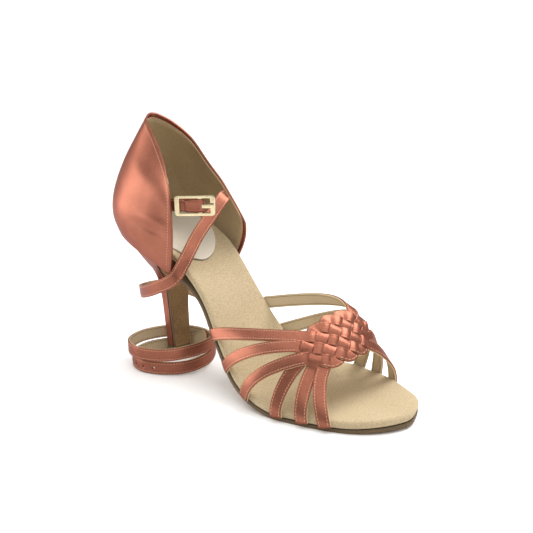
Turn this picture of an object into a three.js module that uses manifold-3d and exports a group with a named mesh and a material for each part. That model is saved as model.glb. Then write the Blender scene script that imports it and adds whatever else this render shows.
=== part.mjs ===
// Open-toe Latin dance sandal, right foot. Millimetres, +Z up, toe along +X, the wearer's left along +Y.
// The shoe is laid out with the back of its heel seat at x = 0 and its sole on z = 0, and the finished
// group is moved so that the middle of its footprint is the origin.
import * as THREE from "three";
import { mergeVertices } from "three/addons/utils/BufferGeometryUtils.js";
import Module from "manifold-3d";

const wasm = await Module();
wasm.setup();

// Driving dimensions
const SHOE_LENGTH = 219.5;
const GAP = 0.3;
const INSOLE_THICKNESS = 4.2;
const INSOLE_INSET = 2.2;
const OUTSOLE_THICKNESS = 1.8;
const OUTSOLE_TRIM = 1.0;
const WALL = 1.8;
const STRAP_WIDTH = 7.6;
const STRAP_THICKNESS = 1.6;
const PLAIT_RELIEF = 1.1;
const PAD_THICKNESS = 1.0;
const TIP_HEIGHT = 6.3;

// A table is a list of rows with named columns
function table(names, rows) {
  return rows.map((row) => Object.fromEntries(names.map((name, i) => [name, row[i]])));
}

// Underside of the insole along the middle of the shoe, from heel seat to toe spring
const PROFILE = table(["x", "z"], [
  [0, 83.5], [25, 75.5], [50, 66.0], [75, 52.5], [100, 30.5], [125, 11.0], [145, 4.4],
  [160, 2.1], [192, 2.1], [SHOE_LENGTH, 4.0],
]);

// Half widths of the sole on the outer (-Y) and inner (+Y) side of the foot
const OUTLINE = table(["x", "outer", "inner"], [
  [3, 11.5, 11.5], [12, 21.0, 21.0], [28, 25.6, 25.6], [55, 24.5, 25.6], [80, 22.5, 23.2],
  [105, 30.5, 21.2], [130, 38.0, 32.2], [150, 40.4, 44.0], [170, 37.6, 43.0], [190, 32.6, 35.4],
  [205, 25.8, 27.0], [215.5, 14.5, 12.5],
]);

// Visible face of the outsole where it leaves the shank and runs down the heel breast
const SOLE_TURN = table(["x", "z", "half"], [
  [56.0, 60.4, 22.5], [50.5, 62.4, 21.5], [46.0, 61.6, 20.0], [42.3, 57.8, 16.0], [39.6, 52.0, 11.0],
  [37.8, 45.0, 8.2], [37.2, 34.0, 7.0], [37.8, 20.0, 6.4], [38.6, TIP_HEIGHT + GAP, 6.0],
]);

// Levels of the heel block, from the tip up to the seat, each tilted from breast to back
const HEEL_LEVELS = table(["breastX", "breastZ", "half", "backX", "backZ"], [
  [35.9, 6.6, 5.8, 26.2, 6.6], [35.0, 20.0, 6.2, 25.4, 20.0], [34.4, 34.0, 6.8, 24.4, 34.0],
  [34.8, 45.0, 8.0, 22.6, 46.0], [36.2, 52.0, 10.6, 19.0, 54.5], [38.6, 58.0, 15.4, 13.0, 62.0],
  [41.4, 62.6, 19.6, 6.4, 70.5], [43.0, 65.6, 21.6, 2.2, 78.0],
]);
const HEEL_SEAT_FRONT = 43.0;

// Quarters, from the outer front edge (s = -1) round the back (s = 0) to the inner front edge (s = 1):
// foot of the wall along the sole, its top edge, and the pull of the bulge between them
const QUARTER_FRONT = 62.0;
const QUARTERS = table(["s", "topX", "topY", "topZ", "pullX", "pullY", "pullZ"], [
  [-1.0, 64.6, -24.0, 113.7, 13.0, -6.5, 5.0],
  [-0.8, 55.0, -18.8, 123.2, 2.0, -14.0, -2.0],
  [-0.55, 39.5, -12.0, 135.5, -9.0, -19.0, -8.0],
  [-0.25, 23.5, -5.2, 145.2, -22.0, -12.0, -16.0],
  [0.0, 15.5, 4.5, 147.6, -25.5, -1.0, -18.0],
  [0.25, 20.5, 10.0, 144.4, -22.0, 12.0, -16.0],
  [0.5, 32.0, 17.0, 134.0, -12.0, 16.0, -8.0],
  [0.7, 42.0, 22.5, 118.0, -4.0, 12.0, -3.0],
  [0.85, 53.0, 25.8, 104.0, 1.0, 7.0, 0.0],
  [1.0, 69.0, 26.0, 86.0, 6.0, 2.5, 2.0],
]);

// Plait over the toes: its back and front edges, from the outer to the inner side of the foot
const PLAIT_EDGES = table(["u", "backX", "backY", "backZ", "frontX", "frontY", "frontZ"], [
  [0.0, 160.5, -21.0, 34.5, 172.0, -25.0, 27.0],
  [0.25, 160.0, -11.0, 44.0, 179.5, -14.0, 28.0],
  [0.5, 161.0, 0.0, 48.5, 182.5, -2.0, 29.5],
  [0.75, 162.5, 11.0, 49.0, 180.5, 10.0, 30.5],
  [1.0, 168.0, 21.5, 44.5, 175.0, 21.0, 32.5],
]);
const PLAIT_CELLS = 5;
const PLAIT_LANES = 3;
const LEG_SEAT = 0.6;
const LEG_SPREAD = 2.5;

// Legs of the vamp straps: where they leave the plait, where they reach the sole, and their arch
const VAMP_LEGS = table(["side", "u", "v", "leadX", "leadY", "leadZ", "footX", "rise"], [
  ["outer", 0.08, 0.06, -22, -8, -2.0, 99, 12], ["outer", 0.05, 0.36, -18, -9, -1.5, 115, 15],
  ["outer", 0.05, 0.66, -13, -11, -4.0, 136, 13], ["outer", 0.05, 0.80, -5, -11, -6.0, 160, 12],
  ["outer", 0.12, 0.92, 2, -11, -6.0, 176, 10], ["outer", 0.24, 0.95, 6, -11, -5.0, 190, 9],
  ["inner", 0.84, 0.04, -24, 8, -1.0, 91, 8], ["inner", 0.93, 0.14, -18, 9, -2.0, 106, 10],
  ["inner", 0.95, 0.35, -12, 10, -3.0, 124, 12], ["inner", 0.96, 0.55, -5, 9, -6.0, 146, 12],
  ["inner", 0.95, 0.80, -1, 9, -6.0, 158, 11], ["inner", 0.88, 0.95, 4, 9, -5.0, 172, 10],
]);

// Ankle strap: its run from the inner quarter over the throat, and its turns round the heel
const STRAP_RUN = table(["x", "y", "z", "acrossX", "acrossY", "acrossZ"], [
  [63.0, 20.5, 98.2, -0.66, -0.4, 0.6], [66.0, 9.0, 90.0, -0.66, -0.5, 0.54],
  [69.0, -7.0, 78.8, -0.66, -0.5, 0.54], [72.0, -22.0, 67.6, -0.6, -0.4, 0.65],
  [70.5, -29.4, 60.4, -0.5, -0.2, 0.8], [56.0, -31.4, 53.0, -0.4, 0.0, 0.9],
  [34.0, -25.0, 45.5, -0.2, 0.0, 1.0], [18.0, -13.0, 41.6, -0.1, 0.0, 1.0],
  [14.0, 2.0, 40.0, 0.0, 0.0, 1.0], [24.0, 14.5, 38.0, 0.1, 0.0, 1.0],
  [40.0, 18.0, 33.6, 0.3, 0.0, 1.0], [55.0, 16.5, 25.0, 0.4, 0.0, 0.9],
]);
const COIL_CENTRE = { x: 43.5, y: -12.0 };
const COIL = table(["angle", "radius", "z"], [
  [42, 28.6, 18.4], [10, 27.6, 15.2], [-43, 26.8, 13.2], [-88, 26.4, 12.6], [-133, 26.3, 12.3],
  [-178, 26.2, 12.1], [-223, 26.0, 12.0], [-268, 25.8, 11.4], [-305, 25.4, 9.2], [-340, 25.0, 6.0],
  [-375, 24.7, 4.4], [-403, 24.5, 4.2], [-448, 24.3, 4.2], [-493, 24.2, 4.2], [-538, 24.0, 4.2],
  [-575, 23.7, 4.6], [-605, 23.6, 6.6], [-630, 22.8, 10.4], [-650, 22.2, 13.6],
]);
const STRAP_STEPS = 132;
const STRAP_SEWN = { around: 0.95, up: 0.97, clear: 1.4 };

// Buckle, laid out along its strap direction, then turned and set at the outer quarter's edge
const BUCKLE = {
  length: 23.0, width: 11.6, bar: 2.6, rail: 1.5, middle: 1.9, thickness: 1.7, middleAt: 14.5,
};
const BUCKLE_PLACE = { x: 80.8, y: -16.0, z: 102.0, turn: 40 };
const PRONG = { eyeInner: 1.55, eyeOuter: 2.3, wide: 2.2, thick: 1.2 };
const PRONG_ROOT = 0.4;
const TAB_RUN = table(["x", "z"], [[-0.5, 0], [-6, 0], [-13.5, 0], [-17.5, -1.4], [-24, -5.9]]);
const PAD = { back: 4.5, front: 61, roundFrom: 38, margin: 2.6 };
const TAB = { width: 7.4, thickness: 1.3, slot: 3.2 };

const COLOURS = {
  satin: "#c0705c", suede: "#6b5335", insole: "#d8c49a", pad: "#cfc5b3", tip: "#6a5a45", metal: "#e6d6b4",
};

const vec = (x, y, z) => new THREE.Vector3(x, y, z);
const lerp = THREE.MathUtils.lerp;
const rad = THREE.MathUtils.degToRad;

// Smooth curve through one column of a table, flat at the column's own peaks
function through(rows, key, column) {
  const xs = rows.map((row) => row[key]);
  const ys = rows.map((row) => row[column]);
  const rise = xs.slice(1).map((x, i) => (ys[i + 1] - ys[i]) / (x - xs[i]));
  const slope = xs.map((_, i) => {
    if (i === 0) return rise[0];
    if (i === xs.length - 1) return rise[i - 1];
    return rise[i - 1] * rise[i] <= 0 ? 0 : (2 * rise[i - 1] * rise[i]) / (rise[i - 1] + rise[i]);
  });
  return (x) => {
    let i = 0;
    while (i < xs.length - 2 && x > xs[i + 1]) i += 1;
    const step = xs[i + 1] - xs[i];
    const t = THREE.MathUtils.clamp((x - xs[i]) / step, 0, 1);
    const a = 2 * t ** 3 - 3 * t ** 2 + 1;
    const b = t ** 3 - 2 * t ** 2 + t;
    const c = 3 * t ** 2 - 2 * t ** 3;
    const d = t ** 3 - t ** 2;
    return a * ys[i] + b * step * slope[i] + c * ys[i + 1] + d * step * slope[i + 1];
  };
}

// Point curve through three columns of a table
function pointThrough(rows, key, columns) {
  const parts = columns.map((column) => through(rows, key, column));
  return (t) => vec(...parts.map((part) => part(t)));
}

const feather = through(PROFILE, "x", "z");

function profileNormal(x) {
  const h = 0.5;
  const slope = (feather(x + h) - feather(x - h)) / (2 * h);
  return vec(-slope, 0, 1).normalize();
}

// Half widths close roundly at heel and toe: the table is read through width squared over end distances
function halfWidthOf(side) {
  const rows = OUTLINE.map((row) => ({ x: row.x, q: row[side] ** 2 / (row.x * (SHOE_LENGTH - row.x)) }));
  const q = through(rows, "x", "q");
  return (x) => Math.sqrt(Math.max(q(x) * x * (SHOE_LENGTH - x), 0));
}
const outerHalf = halfWidthOf("outer");
const innerHalf = halfWidthOf("inner");

// A closed body from points and triangles, with its faces turned outwards
function body(points, triangles) {
  const geometry = new THREE.BufferGeometry();
  const numbers = points.flatMap((p) => [p.x, p.y, p.z]);
  geometry.setAttribute("position", new THREE.Float32BufferAttribute(numbers, 3));
  let volume = 0;
  for (const [a, b, c] of triangles) {
    volume += points[a].dot(vec(0, 0, 0).crossVectors(points[b], points[c])) / 6;
  }
  const turned = volume < 0 ? triangles.map(([a, b, c]) => [a, c, b]) : triangles;
  geometry.setIndex(turned.flat());
  return geometry;
}

// A body lofted through closed rings of equal count, closed by a fan at each end
function loft(rings) {
  const count = rings[0].length;
  const points = rings.flat();
  const triangles = [];
  for (let i = 0; i < rings.length - 1; i += 1) {
    for (let j = 0; j < count; j += 1) {
      const a = i * count + j;
      const b = i * count + ((j + 1) % count);
      triangles.push([a, b, b + count], [a, b + count, a + count]);
    }
  }
  for (const [ring, start, flip] of [[rings[0], 0, true], [rings.at(-1), points.length - count, false]]) {
    const middle = ring.reduce((sum, p) => sum.add(p), vec(0, 0, 0)).divideScalar(count);
    const hub = points.push(middle) - 1;
    for (let j = 0; j < count; j += 1) {
      const a = start + j;
      const b = start + ((j + 1) % count);
      triangles.push(flip ? [hub, b, a] : [hub, a, b]);
    }
  }
  return body(points, triangles);
}

// A sheet body between two grids of points of equal size
function sheet(front, back) {
  const rows = front.length;
  const columns = front[0].length;
  const points = [...front.flat(), ...back.flat()];
  const at = (layer, i, j) => layer * rows * columns + i * columns + j;
  const triangles = [];
  const quad = (a, b, c, d) => triangles.push([a, b, c], [a, c, d]);
  for (let i = 0; i < rows - 1; i += 1) {
    for (let j = 0; j < columns - 1; j += 1) {
      quad(at(0, i, j), at(0, i + 1, j), at(0, i + 1, j + 1), at(0, i, j + 1));
      quad(at(1, i, j), at(1, i, j + 1), at(1, i + 1, j + 1), at(1, i + 1, j));
    }
  }
  for (let i = 0; i < rows - 1; i += 1) {
    quad(at(0, i, 0), at(1, i, 0), at(1, i + 1, 0), at(0, i + 1, 0));
    quad(at(0, i, columns - 1), at(0, i + 1, columns - 1), at(1, i + 1, columns - 1), at(1, i, columns - 1));
  }
  for (let j = 0; j < columns - 1; j += 1) {
    quad(at(0, 0, j), at(0, 0, j + 1), at(1, 0, j + 1), at(1, 0, j));
    quad(at(0, rows - 1, j), at(1, rows - 1, j), at(1, rows - 1, j + 1), at(0, rows - 1, j + 1));
  }
  return body(points, triangles);
}

function grid(rows, columns, place) {
  return Array.from({ length: rows }, (_, i) =>
    Array.from({ length: columns }, (_, j) => place(i / (rows - 1), j / (columns - 1))));
}

// Unit normal of a surface given by a function of two parameters
function surfaceNormal(surface, u, v) {
  const h = 0.004;
  const u0 = Math.max(u - h, 0);
  const u1 = Math.min(u + h, 1);
  const v0 = Math.max(v - h, 0);
  const v1 = Math.min(v + h, 1);
  const du = surface(u1, v).sub(surface(u0, v));
  const dv = surface(u, v1).sub(surface(u, v0));
  return du.cross(dv).normalize();
}

// A flat strap along a path: across gives the direction of its width
function strap(path, across, width, thickness, steps) {
  const rim = (lift) => grid(steps, 2, (t, side) => {
    const tangent = path.getTangent(t);
    const wide = across(t).clone().addScaledVector(tangent, -across(t).dot(tangent)).normalize();
    const normal = vec(0, 0, 0).crossVectors(tangent, wide);
    return path.getPoint(t).addScaledVector(wide, (side - 0.5) * width).addScaledVector(normal, lift);
  });
  return sheet(rim(thickness / 2), rim(-thickness / 2));
}

function toSolid(geometry) {
  const bare = geometry.clone();
  bare.deleteAttribute("normal");
  bare.deleteAttribute("uv");
  const merged = mergeVertices(bare, 1e-4);
  const vertProperties = new Float32Array(merged.attributes.position.array);
  const triVerts = new Uint32Array(merged.index.array);
  return new wasm.Manifold(new wasm.Mesh({ numProp: 3, vertProperties, triVerts }));
}

function fromSolid(solid) {
  const mesh = solid.getMesh();
  const geometry = new THREE.BufferGeometry();
  geometry.setAttribute("position", new THREE.Float32BufferAttribute(mesh.vertProperties, 3));
  geometry.setIndex(Array.from(mesh.triVerts));
  return geometry;
}

function join(geometries) {
  return geometries.map(toSolid).reduce((whole, part) => whole.add(part));
}

function cut(solid, cutters) {
  return cutters.map(toSolid).reduce((whole, part) => whole.subtract(part), solid);
}

// Stations along the shoe, closer together at the round ends
function stations(count) {
  return Array.from({ length: count }, (_, i) => {
    const t = i / (count - 1);
    const even = lerp(0.4, SHOE_LENGTH - 0.25, t);
    const round = 0.4 + (SHOE_LENGTH - 0.65) * (1 - Math.cos(Math.PI * t)) / 2;
    return lerp(even, round, 0.7);
  });
}

function insoleHalf(half, x) {
  const width = half(x);
  return width * Math.max(1 - INSOLE_INSET / Math.max(width, 6), 0.6);
}

function insoleStation(x) {
  return lerp(INSOLE_INSET, SHOE_LENGTH - 0.8, x / SHOE_LENGTH);
}

// Board with rolled edges: its section is a slab with half-round sides
function insole() {
  const edgeSteps = 4;
  const radius = INSOLE_THICKNESS / 2;
  const rings = stations(44).map((x) => {
    const along = insoleStation(x);
    const normal = profileNormal(along);
    const middle = vec(along, 0, feather(along)).addScaledVector(normal, radius);
    const ring = [];
    for (const [side, half] of [[1, innerHalf], [-1, outerHalf]]) {
      const wide = Math.max(insoleHalf(half, x), 0.8);
      const round = Math.min(radius, wide * 0.8);
      for (let k = 0; k <= edgeSteps; k += 1) {
        const angle = side * (-Math.PI / 2 + (Math.PI * k) / edgeSteps);
        const point = middle.clone().addScaledVector(normal, radius * Math.sin(angle));
        point.y = side * (wide - round + round * Math.cos(angle));
        ring.push(point);
      }
    }
    return ring;
  });
  return loft(rings);
}

// Suede sole: flat strip under the insole, turned down the heel breast at its back end
function outsole() {
  const front = stations(40).filter((x) => x > 60).reverse();
  const run = front.map((x) => {
    const along = lerp(0, SHOE_LENGTH - OUTSOLE_TRIM / 2, x / SHOE_LENGTH);
    const normal = profileNormal(along);
    const top = vec(along, 0, feather(along)).addScaledVector(normal, -GAP);
    return { top, low: top.clone().addScaledVector(normal, -OUTSOLE_THICKNESS), x };
  });
  const turn = new THREE.CatmullRomCurve3(SOLE_TURN.map((row) => vec(row.x, 0, row.z)));
  const turnWidths = SOLE_TURN.map((row, i) => ({ t: i / (SOLE_TURN.length - 1), half: row.half }));
  const halfOf = through(turnWidths, "t", "half");
  const turnSteps = 16;
  const rows = run.map(({ top, low, x }) => {
    const width = (half) => Math.max(half(x) - OUTSOLE_TRIM, 0.6);
    return { top, low, outer: width(outerHalf), inner: width(innerHalf) };
  });
  for (let k = 0; k <= turnSteps; k += 1) {
    const t = k / turnSteps;
    const low = turn.getPoint(t);
    const tangent = turn.getTangent(t);
    const normal = vec(-tangent.z, 0, tangent.x).multiplyScalar(-1);
    const top = low.clone().addScaledVector(normal, OUTSOLE_THICKNESS);
    rows.push({ low, top, outer: halfOf(t), inner: halfOf(t) });
  }
  const face = (key) => rows.map((row) => [-row.outer, row.inner].map((y) => vec(row[key].x, y, row[key].z)));
  return sheet(face("top"), face("low"));
}

// Level of a heel-like block: flat at the breast, round at the back
function heelRing(level, drop) {
  const steps = 14;
  const depth = level.breastX - level.backX;
  return Array.from({ length: steps + 1 }, (_, k) => {
    const angle = Math.PI * (k / steps - 0.5);
    const back = Math.abs(Math.cos(angle)) ** 0.85;
    const x = level.breastX - depth * back;
    const y = level.half * Math.sign(Math.sin(angle)) * Math.abs(Math.sin(angle)) ** 0.8;
    return vec(x, y, drop ? drop(x) : lerp(level.breastZ, level.backZ, back));
  });
}

function heel() {
  const seat = { breastX: HEEL_SEAT_FRONT, backX: 0.6, half: 22.6 };
  const rings = HEEL_LEVELS.map((level) => heelRing(level));
  rings.push(heelRing(seat, (x) => feather(x) - GAP));
  return loft(rings);
}

function topPiece() {
  const tip = { breastX: 38.8, backX: 26.0, half: 6.2 };
  return loft([0, TIP_HEIGHT].map((z) => heelRing(tip, () => z)));
}

// Inner face of the quarters: s runs round the heel from outer to inner front edge, t up the wall
const quarterTop = pointThrough(QUARTERS, "s", ["topX", "topY", "topZ"]);
const quarterPull = pointThrough(QUARTERS, "s", ["pullX", "pullY", "pullZ"]);
function quarterFace(u, t) {
  const s = 2 * u - 1;
  const x = QUARTER_FRONT * s * s;
  const half = s < 0 ? outerHalf(x) : innerHalf(x);
  const foot = vec(x, Math.sign(s) * half, feather(x));
  const top = quarterTop(s);
  const pull = foot.clone().add(top).multiplyScalar(0.5).add(quarterPull(s));
  return foot.multiplyScalar((1 - t) ** 2).addScaledVector(pull, 2 * t * (1 - t)).addScaledVector(top, t * t);
}

function quarters() {
  const around = 41;
  const up = 9;
  const inner = grid(around, up, quarterFace);
  const outer = grid(around, up, (u, t) => {
    const inward = surfaceNormal(quarterFace, u, t);
    return quarterFace(u, t).addScaledVector(inward, -WALL);
  });
  return sheet(inner, outer);
}

// Plait: a wall between its two edges, arched, with diagonal strips raised over and under
const plaitBack = pointThrough(PLAIT_EDGES, "u", ["backX", "backY", "backZ"]);
const plaitFront = pointThrough(PLAIT_EDGES, "u", ["frontX", "frontY", "frontZ"]);
function plaitFace(u, v) {
  const lobe = 0.045 * Math.abs(Math.sin(Math.PI * u * PLAIT_CELLS));
  const w = lerp(0.02 - lobe, 0.98 + lobe, v);
  const arch = 2.0 * 4 * v * (1 - v);
  return plaitBack(u).lerp(plaitFront(u), w).add(vec(0.45, 0, 0.9).multiplyScalar(arch));
}

function weave(u, v) {
  const along = u * PLAIT_CELLS;
  const acrossLanes = v * PLAIT_LANES;
  const a = along + acrossLanes;
  const b = along - acrossLanes;
  const cell = Math.abs(Math.sin(Math.PI * a)) * Math.abs(Math.sin(Math.PI * b));
  return PLAIT_RELIEF * (Math.sqrt(cell) - 0.5);
}

function plait() {
  const along = 36;
  const acrossSteps = 19;
  const face = (lift) => grid(along, acrossSteps, (u, v) => {
    const normal = surfaceNormal(plaitFace, u, v);
    return plaitFace(u, v).addScaledVector(normal, -lift(u, v));
  });
  return sheet(face((u, v) => STRAP_THICKNESS / 2 + weave(u, v)), face(() => -STRAP_THICKNESS / 2));
}

// A leg runs from the plait out over the foot and down beside the insole's edge
function vampLeg(leg) {
  const sign = leg.side === "outer" ? -1 : 1;
  const half = leg.side === "outer" ? outerHalf : innerHalf;
  const start = plaitFace(leg.u, leg.v);
  const lead = vec(leg.leadX, leg.leadY, leg.leadZ);
  const edge = sign * (half(leg.footX) - INSOLE_INSET + 2 * GAP + STRAP_THICKNESS / 2);
  const upright = profileNormal(leg.footX);
  const foot = vec(leg.footX, edge, feather(leg.footX)).addScaledVector(upright, LEG_SEAT);
  const shoulder = foot.clone().addScaledVector(upright, leg.rise).add(vec(0, sign * LEG_SPREAD, 0));
  const path = new THREE.CubicBezierCurve3(start, start.clone().add(lead), shoulder, foot);
  const first = surfaceNormal(plaitFace, leg.u, leg.v).cross(lead).normalize();
  const behind = leg.footX - 1;
  const ahead = leg.footX + 1;
  const last = vec(2, sign * (half(ahead) - half(behind)), feather(ahead) - feather(behind)).normalize();
  if (first.dot(last) < 0) first.negate();
  const across = (t) => first.clone().lerp(last, t);
  return strap(path, across, STRAP_WIDTH - 0.6, STRAP_THICKNESS, 10);
}

function vamp() {
  return fromSolid(join([plait(), ...VAMP_LEGS.map(vampLeg)]));
}

// Ankle strap: one path from the quarter over the throat and round the heel
function coilPoint(row) {
  const { x, y } = COIL_CENTRE;
  const angle = rad(row.angle);
  return vec(x + row.radius * Math.cos(angle), y + row.radius * Math.sin(angle), row.z);
}

// The strap's sewn end meets the inside of the inner quarter just under its top edge
function sewnEnd() {
  const { around, up, clear } = STRAP_SEWN;
  const inward = surfaceNormal(quarterFace, around, up);
  return quarterFace(around, up).addScaledVector(inward, clear);
}

function ankleStrap() {
  const { around, up } = STRAP_SEWN;
  const edge = quarterFace(around - 0.01, up).sub(quarterFace(around + 0.01, up)).normalize();
  const points = [sewnEnd(), ...STRAP_RUN.map((row) => vec(row.x, row.y, row.z)), ...COIL.map(coilPoint)];
  const widths = [
    edge,
    ...STRAP_RUN.map((row) => vec(row.acrossX, row.acrossY, row.acrossZ)),
    ...COIL.map(() => vec(0, 0, 1)),
  ];
  const path = new THREE.CatmullRomCurve3(points, false, "centripetal");
  const across = (t) => {
    const place = t * (widths.length - 1);
    const i = Math.min(Math.floor(place), widths.length - 2);
    return widths[i].clone().lerp(widths[i + 1], place - i);
  };
  const band = strap(path, across, STRAP_WIDTH, STRAP_THICKNESS, STRAP_STEPS);
  return fromSolid(toSolid(band));
}

// Pad under the heel of the foot, round at its front, lying on the insole inside the quarters
function heelPad() {
  const rings = [];
  const count = 17;
  for (let i = 0; i < count; i += 1) {
    const t = i / (count - 1);
    const x = lerp(PAD.back, PAD.front, lerp(t, (1 - Math.cos(Math.PI * t)) / 2, 0.8));
    const over = Math.max(x - PAD.roundFrom, 0) / (PAD.front - PAD.roundFrom);
    const close = Math.sqrt(Math.max(1 - over ** 2, 0.004));
    const normal = profileNormal(x);
    const low = vec(x, 0, feather(x)).addScaledVector(normal, INSOLE_THICKNESS + GAP);
    const high = low.clone().addScaledVector(normal, PAD_THICKNESS);
    const near = -(insoleHalf(outerHalf, x) - PAD.margin) * close;
    const far = (insoleHalf(innerHalf, x) - PAD.margin) * close;
    rings.push([[low, near], [low, far], [high, far], [high, near]].map(([p, y]) => vec(p.x, y, p.z)));
  }
  return loft(rings);
}

// Buckle frame: a rounded plate with two windows, the bar between them carrying tab and prong
function roundedPlate(shape, x0, x1, half, radius) {
  shape.moveTo(x0 + radius, -half);
  shape.lineTo(x1 - radius, -half).quadraticCurveTo(x1, -half, x1, -half + radius);
  shape.lineTo(x1, half - radius).quadraticCurveTo(x1, half, x1 - radius, half);
  shape.lineTo(x0 + radius, half).quadraticCurveTo(x0, half, x0, half - radius);
  shape.lineTo(x0, -half + radius).quadraticCurveTo(x0, -half, x0 + radius, -half);
  return shape;
}

function buckleFrame() {
  const { length, width, bar, rail, middle, thickness } = BUCKLE;
  const left = -BUCKLE.middleAt;
  const right = length + left;
  const plate = roundedPlate(new THREE.Shape(), left, right, width / 2, 2.0);
  const window = (x0, x1) => roundedPlate(new THREE.Path(), x0, x1, width / 2 - rail, 0.6);
  plate.holes.push(window(left + bar, -middle / 2), window(middle / 2, right - bar));
  const stroke = { depth: thickness, bevelEnabled: false, curveSegments: 3 };
  const geometry = new THREE.ExtrudeGeometry(plate, stroke);
  return geometry.translate(0, 0, -thickness / 2);
}

// Prong: an eye round the middle bar and a finger that rests over the front bar
function buckleProng() {
  const { eyeInner, eyeOuter, wide, thick } = PRONG;
  const eye = new THREE.Shape().absarc(0, 0, eyeOuter, 0, 2 * Math.PI);
  eye.holes.push(new THREE.Path().absarc(0, 0, eyeInner, 0, 2 * Math.PI));
  const ring = new THREE.ExtrudeGeometry(eye, { depth: wide, bevelEnabled: false, curveSegments: 8 });
  ring.translate(0, 0, -wide / 2).rotateX(Math.PI / 2);
  const reach = BUCKLE.length - BUCKLE.middleAt - 0.4;
  const finger = new THREE.BoxGeometry(reach - PRONG_ROOT, wide, thick);
  const rest = BUCKLE.thickness / 2 + GAP + thick / 2;
  finger.translate((reach + PRONG_ROOT) / 2, 0, rest);
  return fromSolid(join([ring, finger]));
}

// Tab: a folded loop of satin over the middle bar, slotted for the prong, sewn inside the outer quarter
function buckleTab() {
  const outer = PRONG.eyeInner + TAB.thickness;
  const fold = new THREE.Shape().absarc(0, 0, outer, 0, 2 * Math.PI);
  fold.holes.push(new THREE.Path().absarc(0, 0, PRONG.eyeInner, 0, 2 * Math.PI));
  const loop = new THREE.ExtrudeGeometry(fold, { depth: TAB.width, bevelEnabled: false, curveSegments: 8 });
  loop.translate(0, 0, -TAB.width / 2).rotateX(Math.PI / 2);
  const level = -(PRONG.eyeInner + TAB.thickness / 2);
  const path = new THREE.CatmullRomCurve3(TAB_RUN.map((row) => vec(row.x, 0, level + row.z)));
  const tail = strap(path, () => vec(0, 1, 0), TAB.width, TAB.thickness, 12);
  const slot = new THREE.BoxGeometry(3 * outer, TAB.slot, 3 * outer).translate(outer / 4, 0, 0);
  return fromSolid(cut(join([loop, tail]), [slot]));
}

// The buckle stands with its width upright and its face to the outer side, turned in over the foot
function placeBuckle(mesh) {
  mesh.rotation.set(Math.PI / 2, 0, rad(BUCKLE_PLACE.turn), "ZYX");
  mesh.position.set(BUCKLE_PLACE.x, BUCKLE_PLACE.y, BUCKLE_PLACE.z);
}

const group = new THREE.Group();
function add(name, geometry, colour, roughness, metalness) {
  const material = new THREE.MeshStandardMaterial({ color: colour, roughness, metalness });
  const mesh = new THREE.Mesh(geometry, material);
  mesh.name = name;
  group.add(mesh);
  return mesh;
}

add("outsole", outsole(), COLOURS.suede, 0.95, 0);
add("insole", insole(), COLOURS.insole, 0.9, 0);
add("heel", heel(), COLOURS.satin, 0.45, 0);
add("top_piece", topPiece(), COLOURS.tip, 0.7, 0);
add("quarters", quarters(), COLOURS.satin, 0.45, 0);
add("vamp", vamp(), COLOURS.satin, 0.45, 0);
add("ankle_strap", ankleStrap(), COLOURS.satin, 0.45, 0);

add("heel_pad", heelPad(), COLOURS.pad, 0.85, 0);
placeBuckle(add("buckle_frame", buckleFrame(), COLOURS.metal, 0.25, 1));
placeBuckle(add("buckle_prong", buckleProng(), COLOURS.metal, 0.25, 1));
placeBuckle(add("buckle_tab", buckleTab(), COLOURS.satin, 0.45, 0));

const whole = new THREE.Box3().setFromObject(group);
const middle = whole.getCenter(vec(0, 0, 0));
group.position.set(-middle.x, -middle.y, -whole.min.z);

export default group;
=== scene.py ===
"""Open-toe dance sandal: the CAD frame dressed in satin, suede, leather and gilt metal.

Sizes are millimetres in the shoe's own layout, with the back of the heel seat at x = 0, the toe along +X,
the wearer's left along +Y and the sole on z = 0. They become metres in the frame's place at the last step.
"""
import logging
import math
from dataclasses import dataclass
from enum import Enum
from functools import cache
from typing import Callable, Sequence

import bmesh
import bpy
from mathutils import Matrix, Vector


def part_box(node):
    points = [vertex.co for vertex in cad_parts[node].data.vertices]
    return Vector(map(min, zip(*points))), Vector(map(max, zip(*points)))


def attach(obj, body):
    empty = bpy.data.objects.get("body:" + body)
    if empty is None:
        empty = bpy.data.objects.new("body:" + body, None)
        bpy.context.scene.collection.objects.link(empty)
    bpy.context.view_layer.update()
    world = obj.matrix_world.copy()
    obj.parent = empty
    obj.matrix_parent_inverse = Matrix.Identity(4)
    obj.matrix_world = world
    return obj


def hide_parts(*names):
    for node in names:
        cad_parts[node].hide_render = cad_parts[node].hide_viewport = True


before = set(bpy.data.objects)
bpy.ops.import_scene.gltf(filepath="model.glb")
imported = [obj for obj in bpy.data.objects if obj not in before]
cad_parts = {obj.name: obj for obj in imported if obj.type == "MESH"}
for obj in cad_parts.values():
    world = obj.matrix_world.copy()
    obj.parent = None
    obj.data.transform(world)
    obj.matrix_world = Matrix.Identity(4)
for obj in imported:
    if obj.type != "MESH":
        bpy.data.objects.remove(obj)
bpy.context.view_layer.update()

LOG = logging.getLogger("dance_shoe")
MM = 0.001
# Back of the heel's top piece in the layout
TIP_BACK = 26.0
# Points closer than this many metres are one
SEAM = 1e-6
# Least length to divide by, and least share that tells two places apart
TINY = 1e-4
# Values between which nearly all of a noise pattern lies
NOISE_LOW, NOISE_HIGH = 0.3, 0.7
# A punched hole: cleared zone and searched zone in hole radii, then the rim round it in millimetres
PUNCH_CLEAR, PUNCH_REACH, PUNCH_RIM = 1.3, 3.0, 0.2
# Edge angle in degrees that a strap's rolled edge stays under
SOFT_EDGE = 80.0
# A stitch: power that flattens its arch, then its crown and its dip in thread radii
STITCH_FLAT, STITCH_CROWN, STITCH_DIP = 0.45, 0.9, 2.2
BMesh = bmesh.types.BMesh
Vert = bmesh.types.BMVert
Surface = Callable[[float, float], Vector]
Table = tuple[tuple[float, ...], ...]
Value = float | Vector


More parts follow.
